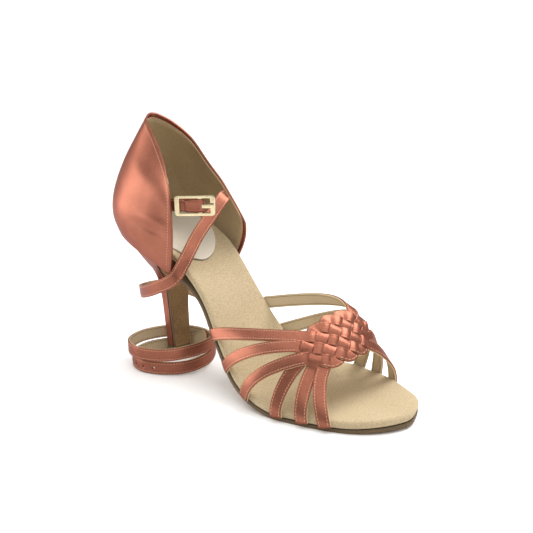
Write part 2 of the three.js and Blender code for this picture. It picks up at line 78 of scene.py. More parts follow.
class Body(Enum):
    """CAD bodies that pieces ride on."""

    SHOE = "shoe"
    FRAME = "frame"
    PRONG = "prong"


class Slot(Enum):
    """Material slots."""

    SATIN = "satin"
    SOLE = "sole_suede"
    INSOLE = "insole_suede"
    PAD = "pad_leather"
    TIP = "tip_rubber"
    METAL = "buckle_metal"


def layout_shift() -> Vector:
    """Return the move from the shoe's layout to the frame, read from the heel's top piece."""
    low, high = (Vector(corner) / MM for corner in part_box("top_piece"))
    return Vector((low.x - TIP_BACK, (low.y + high.y) / 2, 0.0))


SHIFT = layout_shift()


def seat(point: Vector) -> Vector:
    """Return a layout point in the frame's metres."""
    return (point + SHIFT) * MM


def lerp(a: float, b: float, t: float) -> float:
    """Return the value a share t of the way from a to b."""
    return a + (b - a) * t


def clamp(value: float) -> float:
    """Return a value held between 0 and 1."""
    return min(max(value, 0.0), 1.0)


def ease(value: float) -> float:
    """Return a value held between 0 and 1 with soft ends."""
    t = clamp(value)
    return t * t * (3 - 2 * t)


def hermite(t: float, a: Value, b: Value, leave: Value, reach: Value) -> Value:
    """Return the place at t on the cubic from a to b that leaves and reaches them at given slopes."""
    ends = a * (2 * t**3 - 3 * t**2 + 1) + b * (3 * t**2 - 2 * t**3)
    return ends + leave * (t**3 - 2 * t**2 + t) + reach * (t**3 - t**2)


def bezier(t: float, *points: Vector) -> Vector:
    """Return the place at t on the curve that a row of points pulls.

    Args:
        t: place along the curve.
        points: its ends, with the points that pull it between them.

    Returns:
        The place.
    """
    while len(points) > 1:
        points = [a.lerp(b, t) for a, b in zip(points, points[1:])]
    return points[0]


def directions(line: Sequence[Vector]) -> list[Vector]:
    """Return the unit tangent at every point of a line."""
    last = len(line) - 1
    return [(line[min(k + 1, last)] - line[max(k - 1, 0)]).normalized() for k in range(last + 1)]


def relaxed(line: Sequence[Vector]) -> list[Vector]:
    """Return a line with each inner point drawn towards its neighbours."""
    return [line[0], *((a + b * 2 + c) / 4 for a, b, c in zip(line, line[1:], line[2:])), line[-1]]


class Track:
    """Smooth curve through one table column, flat at the column's own peaks."""

    def __init__(self, keys: Sequence[float], values: Sequence[float]) -> None:
        """Work out the slope at every key.

        Args:
            keys: rising positions.
            values: value at each position.
        """
        self.keys = list(keys)
        self.values = list(values)
        rise = [(values[i + 1] - values[i]) / (keys[i + 1] - keys[i]) for i in range(len(keys) - 1)]
        inner = [0.0 if a * b <= 0 else 2 * a * b / (a + b) for a, b in zip(rise, rise[1:])]
        self.slopes = [rise[0], *inner, rise[-1]]

    def __call__(self, x: float) -> float:
        """Return the value at x.

        Args:
            x: position between the first key and the last.

        Returns:
            The value.
        """
        i = 0
        while i < len(self.keys) - 2 and x > self.keys[i + 1]:
            i += 1
        step = self.keys[i + 1] - self.keys[i]
        t = clamp((x - self.keys[i]) / step)
        return hermite(t, *self.values[i : i + 2], *(slope * step for slope in self.slopes[i : i + 2]))


class PointTrack:
    """Smooth curve of points through three columns of a table."""

    def __init__(self, rows: Table, first: int) -> None:
        """Take three columns of the rows, keyed by the rows' first column.

        Args:
            rows: table rows.
            first: column that holds x, with y and z after it.
        """
        keys = [row[0] for row in rows]
        self.tracks = [Track(keys, [row[first + k] for row in rows]) for k in range(3)]

    def __call__(self, t: float) -> Vector:
        """Return the point at t."""
        return Vector([track(t) for track in self.tracks])


def through_points(points: Sequence[Vector], steps: int) -> list[Vector]:
    """Return a dense centripetal curve through points.

    Args:
        points: points that the curve passes.
        steps: pieces between two points.

    Returns:
        The points of the curve, with both ends.
    """
    ends = [points[0] * 2 - points[1], *points, points[-1] * 2 - points[-2]]
    curve = []
    for p0, p1, p2, p3 in zip(ends, ends[1:], ends[2:], ends[3:]):
        d0, d1, d2 = (max((b - a).length, TINY) ** 0.5 for a, b in ((p0, p1), (p1, p2), (p2, p3)))
        leave = ((p1 - p0) / d0 - (p2 - p0) / (d0 + d1) + (p2 - p1) / d1) * d1
        reach = ((p2 - p1) / d1 - (p3 - p1) / (d1 + d2) + (p3 - p2) / d2) * d1
        curve += [hermite(k / steps, p1, p2, leave, reach) for k in range(steps)]
    return [*curve, points[-1].copy()]


def surface_normal(surface: Surface, u: float, v: float) -> Vector:
    """Return the unit normal of a surface at two parameters between 0 and 1.

    Args:
        surface: the surface.
        u: its first parameter.
        v: its second parameter.

    Returns:
        The unit normal.
    """
    step = 0.004
    along = surface(min(u + step, 1.0), v) - surface(max(u - step, 0.0), v)
    up = surface(u, min(v + step, 1.0)) - surface(u, max(v - step, 0.0))
    return along.cross(up).normalized()


def linear(code: str) -> tuple[float, float, float, float]:
    """Return an sRGB hex colour as linear RGBA.

    Args:
        code: colour as #rrggbb.

    Returns:
        Red, green, blue and alpha.
    """
    parts = [int(code[i : i + 2], 16) / 255 for i in (1, 3, 5)]
    red, green, blue = (c / 12.92 if c <= 0.04045 else ((c + 0.055) / 1.055) ** 2.4 for c in parts)
    return (red, green, blue, 1.0)


def add_node(tree: bpy.types.NodeTree, kind: str, inputs: dict, **settings: object) -> bpy.types.Node:
    """Add a node with its settings, and set or link its inputs.

    Args:
        tree: node tree that takes the node.
        kind: Blender's node type.
        inputs: values or sockets by input name or number.
        settings: properties of the node.

    Returns:
        The new node.
    """
    node = tree.nodes.new(kind)
    for name, value in settings.items():
        setattr(node, name, value)
    for name, value in inputs.items():
        if isinstance(value, bpy.types.NodeSocket):
            tree.links.new(value, node.inputs[name])
        else:
            node.inputs[name].default_value = value
    return node


@dataclass(frozen=True)
class Finish:
    """A finish of the shoe: two tones of one surface, mottled by its own grain."""

    name: str
    light: str
    dark: str
    roughness: float
    metallic: float = 0.0
    sheen: float = 0.0
    grain: float = 1.0
    stretch: tuple[float, float, float] = (1.0, 1.0, 1.0)
    cloud: float = 20.0
    cloud_share: float = 0.35
    relief: float = 0.3
    depth: float = 0.1
    gloss_change: float = 0.1
    on_uv: bool = False
    specular: float = 0.5
    tint: str = "#ffffff"

    @cache
    def material(self) -> bpy.types.Material:
        """Build the finish once and return its material.

        Returns:
            A material with a fine grain in colour, gloss and bump, and slow clouds of tone.
        """
        made = bpy.data.materials.new(self.name)
        made.use_nodes = True
        tree = made.node_tree
        tree.nodes.clear()
        span = {"From Min": NOISE_LOW, "From Max": NOISE_HIGH}
        coords = add_node(tree, "ShaderNodeTexCoord", {})
        place = coords.outputs["UV" if self.on_uv else "Object"]
        fine = add_node(tree, "ShaderNodeMapping", {"Vector": place, "Scale": self.stretch})
        grain = add_node(
            tree, "ShaderNodeTexNoise",
            {"Vector": fine.outputs[0], "Scale": 1 / (self.grain * MM), "Detail": 3.0, "Roughness": 0.6},
        ).outputs["Fac"]
        cloud = add_node(
            tree, "ShaderNodeTexNoise",
            {"Vector": coords.outputs["Object"], "Scale": 1 / (self.cloud * MM), "Detail": 2.0},
        ).outputs["Fac"]
        blend = add_node(
            tree, "ShaderNodeMix", {0: self.cloud_share, 2: grain, 3: cloud}, data_type="FLOAT",
        )
        tone = add_node(tree, "ShaderNodeMapRange", {"Value": blend.outputs[0], **span})
        colour = add_node(
            tree, "ShaderNodeMix",
            {0: tone.outputs[0], 6: linear(self.dark), 7: linear(self.light)}, data_type="RGBA",
        )
        low, high = (self.roughness + sign * self.gloss_change / 2 for sign in (-1, 1))
        gloss = add_node(tree, "ShaderNodeMapRange", {"Value": grain, **span, "To Min": low, "To Max": high})
        bump = add_node(
            tree, "ShaderNodeBump", {"Height": grain, "Strength": self.relief, "Distance": self.depth * MM},
        )
        shader = add_node(
            tree, "ShaderNodeBsdfPrincipled",
            {
                "Base Color": colour.outputs[2], "Roughness": gloss.outputs[0], "Normal": bump.outputs[0],
                "Metallic": self.metallic, "Sheen Weight": self.sheen, "Sheen Tint": linear(self.light),
                "Specular IOR Level": self.specular, "Specular Tint": linear(self.tint),
            },
        )
        add_node(tree, "ShaderNodeOutputMaterial", {"Surface": shader.outputs[0]})
        return made


# Polyester satin, woven with long floats: their gloss is drawn as part-metallic, with a dark tint at a slant.
# The threads are about 0.1 mm, too fine to show, so the slubs along the strap are drawn 0.5 mm wide.
SATIN = Finish(
    "coral_polyester_satin", "#98604d", "#7c4a3a", 0.34, metallic=0.62, sheen=0.1, grain=0.5,
    stretch=(0.18, 1.0, 1.0), cloud=14.0, cloud_share=0.4, relief=0.12, depth=0.06, on_uv=True, specular=1.0,
    tint="#8a5c4e",
)
# Brushed microfibre lining: matt, with a fine even nap.
LINING = Finish(
    "tan_microfibre_lining", "#dccbac", "#c3b08c", 0.85, sheen=0.15, grain=0.6, relief=0.35, depth=0.08,
)
# Lining of the heel: the strap lining's tan, drawn darker as painted shade for the inside of the heel cup,
# with a faint gloss.
HEEL_LINING_SHADED = Finish("tan_lining_painted_shade", "#ae9874", "#8f7957", 0.7, grain=0.8, relief=0.25, depth=0.06)
# Cut edge of the lining: raw fibre, paler than the face.
CUT_EDGE = Finish("raw_cut_edge", "#d9c39a", "#b99c70", 0.9, grain=0.5, relief=0.4, depth=0.1)
# Suede insole cover: short nap with dark specks where it lies the other way, drawn at 0.8 mm.
INSOLE_SUEDE = Finish(
    "beige_insole_suede", "#bba98a", "#94805f", 0.95, sheen=0.25, grain=0.8, cloud=30.0, cloud_share=0.2,
    relief=0.45, depth=0.12,
)
# Smooth heel-pad leather, lightly pressed: faint pores and a soft gloss.
PAD_LEATHER = Finish("pale_pad_leather", "#c9c0b0", "#b9af9e", 0.6, grain=0.7, cloud=18.0, depth=0.06)
# Brushed chrome suede of the sole: long brown fibres.
SOLE_SUEDE = Finish(
    "brown_sole_suede", "#9c7d55", "#694f32", 0.97, sheen=0.2, grain=0.9, stretch=(0.5, 1.0, 1.0), relief=0.6,
    depth=0.3,
)
# Rand between insole and sole: painted fibreboard.
RAND_BOARD = Finish("brown_fibreboard", "#66563f", "#463a2a", 0.8, grain=0.8)
# Trimmed edge of the sole: brown stain over the fibres.
SOLE_EDGE = Finish("stained_sole_edge", "#735c3f", "#4a3925", 0.85, grain=0.7, relief=0.5, depth=0.15)
# Moulded polyurethane top piece, worn dull.
TIP_RUBBER = Finish("moulded_polyurethane", "#6f5f4a", "#584a38", 0.62, grain=0.9, relief=0.25, depth=0.06)
# Twisted polyester sewing thread.
THREAD = Finish("coral_polyester_thread", "#cb9b7b", "#ab7c5b", 0.6, sheen=0.2, grain=0.35)
# The same thread in brown, on the lining side.
DARK_THREAD = Finish("brown_polyester_thread", "#86704f", "#6b563a", 0.7, grain=0.35)
# Polished pale gold plate on zinc: sharp reflections with faint polishing marks.
GILT = Finish(
    "pale_gold_plate", "#dccfae", "#bba97f", 0.11, metallic=1.0, grain=1.2, cloud=8.0, relief=0.05,
    depth=0.02, gloss_change=0.06,
)
# Studio paper: matt white.
PAPER = Finish(
    "white_studio_paper", "#fbfbfa", "#f6f6f5", 0.5, grain=3.0, cloud=300.0, relief=0.02, depth=0.02,
)


def drape(bm: BMesh, columns: int, rows: int, place: Surface, size: tuple[float, float]) -> None:
    """Lay a grid over a surface, with a UV map in real size.

    Args:
        bm: mesh that takes the grid.
        columns: faces along the first parameter.
        rows: faces along the second parameter.
        place: layout point at two parameters between 0 and 1.
        size: length of the surface along its two parameters.
    """
    layer = bm.loops.layers.uv.verify()
    verts = bmesh.ops.create_grid(bm, x_segments=columns, y_segments=rows, size=0.5)["verts"]
    for face in {face for vert in verts for face in vert.link_faces}:
        for loop in face.loops:
            loop[layer].uv = ((loop.vert.co.x + 0.5) * size[0] * MM, (loop.vert.co.y + 0.5) * size[1] * MM)
    for vert in verts:
        vert.co = seat(place(vert.co.x + 0.5, vert.co.y + 0.5))


def close_tube(bm: BMesh) -> None:
    """Merge the seam of a tube, cap its ends and turn its faces outwards.

    Args:
        bm: mesh that holds the open tube.
    """
    bmesh.ops.remove_doubles(bm, verts=bm.verts, dist=SEAM)
    bmesh.ops.holes_fill(bm, edges=bm.edges, sides=0)
    bmesh.ops.recalc_face_normals(bm, faces=bm.faces)


def add_piece(
    name: str, bm: BMesh, finishes: Sequence[Finish], slot: Slot,
    body: Body = Body.SHOE, replaced: str = "", sharp: float = 50.0,
) -> bpy.types.Object:
    """Turn a mesh into a piece of the shoe.

    Args:
        name: piece name.
        bm: finished mesh, in the frame's metres.
        finishes: finishes by material number.
        slot: material slot; not used.
        body: body that carries the piece.
        replaced: CAD node that the piece stands for.
        sharp: angle in degrees above which an edge stays sharp.

    Returns:
        The new object.
    """
    mesh = bpy.data.meshes.new(name)
    bm.to_mesh(mesh)
    bm.free()
    for finish in finishes:
        mesh.materials.append(finish.material())
    mesh.shade_smooth()
    mesh.set_sharp_from_angle(angle=math.radians(sharp))
    piece = bpy.data.objects.new(name, mesh)
    bpy.context.scene.collection.objects.link(piece)
    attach(piece, body.value)
    if replaced:
        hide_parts(replaced)
    LOG.info("%s: %d faces", name, len(mesh.polygons))
    return piece


def thicken(piece: bpy.types.Object, thickness: float, rim: int = 0) -> None:
    """Give a sheet its thickness, inwards from its face.

    Args:
        piece: sheet that faces outwards.
        thickness: thickness in millimetres.
        rim: material number of the rim.
    """
    wall = piece.modifiers.new("thickness", "SOLIDIFY")
    wall.thickness = thickness * MM
    wall.offset = -1.0
    wall.material_offset_rim = rim


class Strip:
    """Centre line of a flat strap, with the direction of its width at every step."""

    def __init__(self, points: Sequence[Vector], across: Sequence[Vector], step: float = 0.8) -> None:
        """Space the line evenly and square the widths to it.

        Args:
            points: dense points of the line.
            across: direction of the width at each point.
            step: distance between two frames.
        """
        run = [0.0]
        for a, b in zip(points, points[1:]):
            run.append(run[-1] + (b - a).length)
        self.length = run[-1]
        count = max(int(self.length / step), 4)
        self.step = self.length / count
        self.centres: list[Vector] = []
        wides = []
        i = 0
        for k in range(count + 1):
            s = min(k * self.step, self.length)
            while i < len(points) - 2 and run[i + 1] < s:
                i += 1
            t = clamp((s - run[i]) / max(run[i + 1] - run[i], TINY))
            self.centres.append(points[i].lerp(points[i + 1], t))
            wides.append(across[i].lerp(across[i + 1], t))
        self.wides: list[Vector] = []
        self.normals: list[Vector] = []
        for wide, tangent in zip(wides, directions(self.centres)):
            square = (wide - tangent * wide.dot(tangent)).normalized()
            self.wides.append(square)
            self.normals.append(tangent.cross(square))

    def point(self, s: float, w: float, h: float) -> Vector:
        """Return a point of the strap.

        Args:
            s: distance along the strap.
            w: distance across it from its middle.
            h: height over its middle plane.

        Returns:
            The layout point.
        """
        place = min(max(s / self.step, 0.0), len(self.centres) - 1 - TINY)
        i = int(place)
        t = place - i
        centre = self.centres[i].lerp(self.centres[i + 1], t)
        wide = self.wides[i].lerp(self.wides[i + 1], t)
        return centre + wide * w + self.normals[i].lerp(self.normals[i + 1], t) * h


@dataclass(frozen=True)
class Seam:
    """Rows of stitches along part of a strap, on one edge or both."""

    strip: Strip
    start: float
    end: float
    sides: tuple[int, ...] = (-1, 1)


@dataclass(frozen=True)
class Strap:
    """Section of a lined satin strap: face, lining and two rows of stitches."""

    width: float = 6.8
    face: float = 0.9
    lining: float = 0.6
    stitch_inset: float = 1.1
    pitch: float = 1.7
    thread: float = 0.2
    groove: float = 0.1
    lining_share: float = 0.97
    hole_radius: float = 0.85
    end_close: float = 0.02
    # Share of the half width, and height over the face: rolled edge, stitched groove, soft crown
    section: Table = (
        (-1.0, -0.4), (-0.96, -0.12), (-0.86, 0.0), (-0.69, -0.1), (-0.5, 0.02), (-0.25, 0.05), (0.0, 0.06),
        (0.25, 0.05), (0.5, 0.02), (0.69, -0.1), (0.86, 0.0), (0.96, -0.12), (1.0, -0.4),
    )

    @property
    def top(self) -> float:
        """Height of the face over the strap's middle plane."""
        return (self.face + self.lining) / 2

    def lay_band(self, bm: BMesh, strip: Strip, tip: float, holes: Sequence[float], under: bool) -> None:
        """Lay the satin face or the lining of a strap.

        Args:
            bm: mesh that takes the band.
            strip: line that the strap follows.
            tip: length of the rounded end, 0 for a straight one.
            holes: distances along the strap of its punched holes.
            under: lay the lining instead of the face.
        """
        layer = bm.loops.layers.uv.verify()
        rows = len(self.section) - 1
        columns = int(strip.length)
        verts = bmesh.ops.create_grid(bm, x_segments=columns, y_segments=rows, size=0.5)["verts"]
        half = self.width / 2
        heights = Track([share for share, _ in self.section], [height for _, height in self.section])
        for vert in verts:
            row = round((vert.co.y + 0.5) * rows)
            vert.co = Vector(((vert.co.x + 0.5) * strip.length, self.section[row][0] * half, 0.0))
        mine = set(verts)
        for hole in holes:
            ring = punch(bm, mine, hole, self.hole_radius)
            mine = {vert for vert in mine if vert.is_valid} | ring
        for face in {face for vert in mine for face in vert.link_faces}:
            for loop in face.loops:
                loop[layer].uv = (loop.vert.co.x * MM, loop.vert.co.y * MM)
        for vert in mine:
            s, w = vert.co.x, vert.co.y
            left = (strip.length - s) / tip if tip else 1.0
            close = math.sqrt(max(1 - (1 - clamp(left)) ** 2, self.end_close))
            height = self.top - self.face if under else self.top + heights(w / half)
            share = self.lining_share if under else 1.0
            vert.co = seat(strip.point(s, w * close * share, height))

    def sew(self, name: str, finish: Finish, seams: Sequence[Seam], under: bool = False) -> None:
        """Build the stitching of straps as one piece.

        Args:
            name: piece name.
            finish: thread.
            seams: rows of stitches.
            under: sew the lining side instead of the face.
        """
        bm = bmesh.new()
        offset = self.width / 2 - self.stitch_inset
        lift = self.top if under else self.top - self.groove
        for seam in seams:
            for side in seam.sides:
                lay_thread(bm, seam, side * offset, lift, self.pitch, self.thread, under)
        add_piece(name, bm, [finish], Slot.SATIN)

    def build(
        self, face_name: str, prefix: str, node: str, seams: Sequence[Seam], lobes: Sequence[Seam] = (),
        tip: float = 0.0, holes: Sequence[float] = (),
    ) -> None:
        """Build straps as four pieces: satin, lining and the stitching on both.

        Args:
            face_name: name of the satin piece.
            prefix: start of the other pieces' names.
            node: CAD node that the satin stands for.
            seams: stitches on both faces.
            lobes: stitches on the satin alone.
            tip: length of the rounded end, 0 for a straight one.
            holes: distances along the strap of its punched holes.
        """
        strips = list(dict.fromkeys(seam.strip for seam in seams))
        satin, lining = bmesh.new(), bmesh.new()
        for strip in strips:
            self.lay_band(satin, strip, tip, holes, False)
            self.lay_band(lining, strip, tip, holes, True)
        piece = add_piece(face_name, satin, [SATIN], Slot.SATIN, replaced=node, sharp=SOFT_EDGE)
        thicken(piece, self.face)
        piece = add_piece(f"{prefix}_lining", lining, [LINING, CUT_EDGE], Slot.SATIN)
        thicken(piece, self.lining, 1)
        self.sew(f"{prefix}_stitching", THREAD, [*seams, *lobes])
        self.sew(f"{prefix}_lining_stitching", DARK_THREAD, seams, under=True)


def punch(bm: BMesh, verts: set[Vert], along: float, radius: float) -> set[Vert]:
    """Punch a round hole in a flat band that lies along X.

    Args:
        bm: mesh of the band.
        verts: vertices of the band.
        along: distance of the hole along the band.
        radius: hole radius.

    Returns:
        The vertices round the hole.
    """
    middle = Vector((along, 0.0, 0.0))
    inner = [vert for vert in verts if (vert.co - middle).length < radius * PUNCH_CLEAR]
    outer = [vert for vert in verts if vert not in inner]
    round_it = [vert for vert in outer if (vert.co - middle).length < radius * PUNCH_REACH]
    bmesh.ops.dissolve_verts(bm, verts=inner)
    face = max((near for vert in round_it for near in vert.link_faces), key=lambda near: len(near.verts))
    bmesh.ops.inset_individual(bm, faces=[face], thickness=PUNCH_RIM, use_even_offset=True)
    ring = set(face.verts)
    for vert in ring:
        vert.co = middle + (vert.co - middle).normalized() * radius
    bmesh.ops.delete(bm, geom=[face], context="FACES_ONLY")
    return ring


def lay_thread(
    bm: BMesh, seam: Seam, offset: float, lift: float, pitch: float, radius: float, under: bool = False,
) -> None:
    """Lay a row of stitches: a thread that dips under the surface between two stitches.

    Args:
        bm: mesh that takes the thread.
        seam: line, start and end of the row.
        offset: distance across the line.
        lift: height of the surface over the line's middle plane.
        pitch: length of one stitch with its gap.
        radius: radius of the thread.
        under: lay the row on the back.
    """
    start, end = seam.start, seam.end
    stitches = max(round((end - start) / pitch), 1)
    turn = -1 if under else 1

    def place(p: float, q: float) -> Vector:
        """Return a point of the thread's upper half.

        Args:
            p: place along the row.
            q: place across the thread.

        Returns:
            The layout point.
        """
        beat = abs(math.sin(math.pi * p * stitches)) ** STITCH_FLAT
        angle = math.pi * (q - 0.5)
        height = lift + radius * (STITCH_CROWN * math.cos(angle) - STITCH_DIP * (1 - beat))
        return seam.strip.point(lerp(start, end, p), offset + turn * radius * math.sin(angle), turn * height)

    drape(bm, stitches * 6, 4, place, (end - start, 3 * radius))


@dataclass
class Last:
    """The shoe's base: underside of the insole and the outline of the sole."""

    length: float = 219.5
    insole_inset: float = 2.2
    blunt_width: float = 6.0
    cup_rise: float = 8.0
    cup_end: float = 88.0
    cup_fade: float = 34.0
    cup_back: float = 16.0
    heel_end: float = 0.4
    toe_end: float = 0.25
    crowding: float = 0.7
    # Station and height of the insole's underside
    profile: Table = (
        (0, 83.5), (25, 75.5), (50, 66.0), (75, 52.5), (100, 30.5), (125, 11.0), (145, 4.4), (160, 2.1),
        (192, 2.1), (219.5, 4.0),
    )
    # Station, half width on the outer side, half width on the inner side
    outline: Table = (
        (3, 11.5, 11.5), (12, 21.0, 21.0), (28, 25.6, 25.6), (55, 24.5, 25.6), (80, 22.5, 23.2),
        (105, 30.5, 21.2), (130, 38.0, 32.2), (150, 40.4, 44.0), (170, 37.6, 43.0), (190, 32.6, 35.4),
        (205, 25.8, 27.0), (215.5, 14.5, 12.5),
    )

    def __post_init__(self) -> None:
        """Fit the curves of the tables."""
        self.feather = Track([row[0] for row in self.profile], [row[1] for row in self.profile])
        keys = [row[0] for row in self.outline]
        room = [x * (self.length - x) for x in keys]
        self.spread = [Track(keys, [row[k] ** 2 / r for row, r in zip(self.outline, room)]) for k in (1, 2)]

    def half(self, side: int, x: float) -> float:
        """Return the half width of the sole on the outer (-1) or inner (1) side."""
        return math.sqrt(max(self.spread[side > 0](x) * x * (self.length - x), 0.0))

    def insole_half(self, side: int, x: float) -> float:
        """Return the half width of the insole."""
        width = self.half(side, x)
        return width * (1 - self.insole_inset / max(width, self.blunt_width))

    def facing(self, side: int, x: float) -> float:
        """Return how far the insole's edge faces the toe (1) or the heel (-1) rather than sideways.

        Args:
            side: outer (-1) or inner (1) side.
            x: station.

        Returns:
            The share, from -1 to 1.
        """
        step = 0.4
        narrowing = self.insole_half(side, x - step) - self.insole_half(side, x + step)
        return math.sin(math.atan2(narrowing, 2 * step))

    def normal(self, x: float) -> Vector:
        """Return the upward normal of the profile."""
        slope = self.feather(x + 0.5) - self.feather(x - 0.5)
        return Vector((-slope, 0, 1)).normalized()

    def board(self, x: float, lift: float) -> Vector:
        """Return the middle of the profile, lifted along its normal."""
        return Vector((x, 0, self.feather(x))) + self.normal(x) * lift

    def cup(self, x: float, y: float) -> float:
        """Return how far the heel cup lifts the insole beside its middle line.

        Args:
            x: station.
            y: distance from the middle line.

        Returns:
            The rise.
        """
        share = abs(y) / max(self.insole_half(1 if y > 0 else -1, x), 1.0)
        fade = ease((self.cup_end - x) / self.cup_fade) * ease(x / self.cup_back)
        return self.cup_rise * fade * min(share, 1.0) ** 2

    def station(self, t: float) -> float:
        """Return a place along the shoe, with the places closer together at both ends."""
        crowded = (1 - math.cos(math.pi * t)) / 2
        return lerp(self.heel_end, self.length - self.toe_end, lerp(t, crowded, self.crowding))


@dataclass
class Sole:
    """Insole, heel pad, rand and suede outsole."""

    last: Last
    insole_thickness: float = 4.2
    insole_toe: float = 0.8
    insole_point: float = 0.1
    insole_grid: tuple[int, int] = (110, 40)
    insole_girth: float = 150.0
    roll_limit: float = 0.8
    flat_share: float = 0.3
    gap: float = 0.3
    outsole_thickness: float = 1.8
    rand_thickness: float = 0.5
    trim: float = 2.6
    straight_from: float = 60.0
    toe_half: float = 0.6
    sole_steps: int = 89
    unrolled: tuple[float, float] = (240.0, 70.0)
    pad_thickness: float = 1.0
    pad_back: float = 4.5
    pad_front: float = 61.0
    pad_round: float = 38.0
    pad_margin: float = 2.6
    pad_edge: float = 0.62
    pad_slope: float = 0.05
    pad_crowding: float = 0.8
    pad_point: float = 0.004
    pad_grid: tuple[int, int] = (48, 36)
    pad_size: tuple[float, float] = (60.0, 46.0)
    # Outsole down the heel breast: x, z and half width of its face
    turn: Table = (
        (56.0, 60.4, 21.6), (50.5, 62.4, 21.0), (46.0, 61.6, 20.0), (42.3, 57.8, 16.0), (39.6, 52.0, 11.0),
        (37.8, 45.0, 8.2), (37.2, 34.0, 7.0), (37.8, 20.0, 6.4), (38.6, 6.6, 6.0),
    )

    def insole_ring(self, t: float, k: float) -> Vector:
        """Return a point of the insole's rolled section.

        Args:
            t: place along the shoe.
            k: place round the section.

        Returns:
            The layout point.
        """
        x = self.last.length * (1 - math.cos(math.pi * t)) / 2
        along = lerp(self.last.insole_inset, self.last.length - self.insole_toe, x / self.last.length)
        radius = self.insole_thickness / 2
        side = 1 if k < 0.5 else -1
        share = (k * 2) % 1.0 if k < 1 else 1.0
        wide = max(self.last.insole_half(side, x), self.insole_point)
        near, far = self.last.facing(-side, x), self.last.facing(side, x)
        rolled = min(radius * math.sqrt(1 - far**2), wide * self.roll_limit)
        flat = wide - rolled
        roll = clamp((share - self.flat_share) / (1 - 2 * self.flat_share))
        angle = math.pi * (roll - 0.5) * side
        y = flat * min(min(share, 1 - share) / self.flat_share, 1.0)
        y += rolled * math.cos(angle)
        along -= radius * (1 - math.cos(angle)) * lerp((near + far) / 2, far, y / wide)
        point = self.last.board(along, radius + radius * math.sin(angle))
        point.y = side * y
        point.z += self.last.cup(along, point.y)
        return point

    def build_insole(self) -> None:
        """Build the suede-covered insole board."""
        bm = bmesh.new()
        drape(bm, *self.insole_grid, self.insole_ring, (self.last.length, self.insole_girth))
        close_tube(bm)
        add_piece("insole_board", bm, [INSOLE_SUEDE], Slot.INSOLE, replaced="insole")

    def pad_face(self, t: float, q: float) -> Vector:
        """Return a point of the heel pad's top, sloping down to the insole at its edge.

        Args:
            t: place along the pad.
            q: place across it.

        Returns:
            The layout point.
        """
        bend = lerp(t, (1 - math.cos(math.pi * t)) / 2, self.pad_crowding)
        x = lerp(self.pad_back, self.pad_front, bend)
        over = max(x - self.pad_round, 0) / (self.pad_front - self.pad_round)
        close = math.sqrt(max(1 - over**2, self.pad_point))
        near, far = (self.last.insole_half(side, x) - self.pad_margin for side in (-1, 1))
        across = math.sin(math.pi * (q - 0.5))
        edge = min(1 - abs(across), t, 1 - t)
        lift = self.pad_thickness * lerp(self.pad_edge, 1.0, ease(edge / self.pad_slope))
        point = self.last.board(x, self.insole_thickness + self.gap + lift)
        point.y = lerp(-near, far, (across + 1) / 2) * close
        point.z += self.last.cup(x, point.y)
        return point

    def build_pad(self) -> None:
        """Build the plain leather pad under the heel of the foot."""
        bm = bmesh.new()
        drape(bm, *self.pad_grid, self.pad_face, self.pad_size)
        piece = add_piece("heel_pad_leather", bm, [PAD_LEATHER], Slot.PAD, replaced="heel_pad")
        thicken(piece, self.pad_thickness * self.pad_edge)

    def sole_rows(self) -> list[tuple[Vector, Vector, float, float]]:
        """Return the sole's upper face from toe to heel tip.

        Returns:
            Rows of a point of the middle line, the normal there and the outer and inner half width.
        """
        rows = []
        for k in range(self.sole_steps + 1):
            x = self.last.station(1 - k / self.sole_steps)
            if x > self.straight_from:
                along = x * (1 - self.trim / 2 / self.last.length)
                outer, inner = (max(self.last.half(side, x) - self.trim, self.toe_half) for side in (-1, 1))
                normal = self.last.normal(along)
                rows.append((self.last.board(along, -self.gap), normal, outer, inner))
        curve = through_points([Vector((x, 0, z)) for x, z, _ in self.turn], 6)
        count = len(self.turn) - 1
        half = Track([k / count for k in range(count + 1)], [row[2] for row in self.turn])
        for k, (low, tangent) in enumerate(zip(curve, directions(curve))):
            normal = Vector((tangent.z, 0, -tangent.x))
            width = half(k / (len(curve) - 1))
            rows.append((low + normal * self.outsole_thickness, normal, width, width))
        return rows

    def build_outsole(self) -> None:
        """Build the suede sole with its raw edge, and the rand over it."""
        rows = self.sole_rows()

        def face(drop: float) -> Surface:
            """Return the sole's upper face, lowered.

            Args:
                drop: distance under the upper face.

            Returns:
                The surface.
            """

            def place(p: float, q: float) -> Vector:
                """Return a point of the face.

                Args:
                    p: place from toe to heel tip.
                    q: place across the sole.

                Returns:
                    The layout point.
                """
                i = min(int(p * (len(rows) - 1)), len(rows) - 2)
                t = p * (len(rows) - 1) - i
                (top, normal, outer, inner), (top2, normal2, outer2, inner2) = rows[i], rows[i + 1]
                point = top.lerp(top2, t) - normal.lerp(normal2, t) * drop
                point.y = lerp(-lerp(outer, outer2, t), lerp(inner, inner2, t), q)
                return point

            return place

        bm = bmesh.new()
        drape(bm, len(rows) - 1, 14, face(self.outsole_thickness), self.unrolled)
        piece = add_piece("suede_sole", bm, [SOLE_SUEDE, SOLE_EDGE], Slot.SOLE, replaced="outsole")
        thicken(piece, self.outsole_thickness - self.rand_thickness, 1)
        bm = bmesh.new()
        drape(bm, len(rows) - 1, 4, face(self.rand_thickness), self.unrolled)
        piece = add_piece("sole_rand", bm, [RAND_BOARD], Slot.SOLE)
        thicken(piece, self.rand_thickness)

    def build(self) -> None:
        """Build the pieces from the ground up."""
        self.build_outsole()
        self.build_insole()
        self.build_pad()


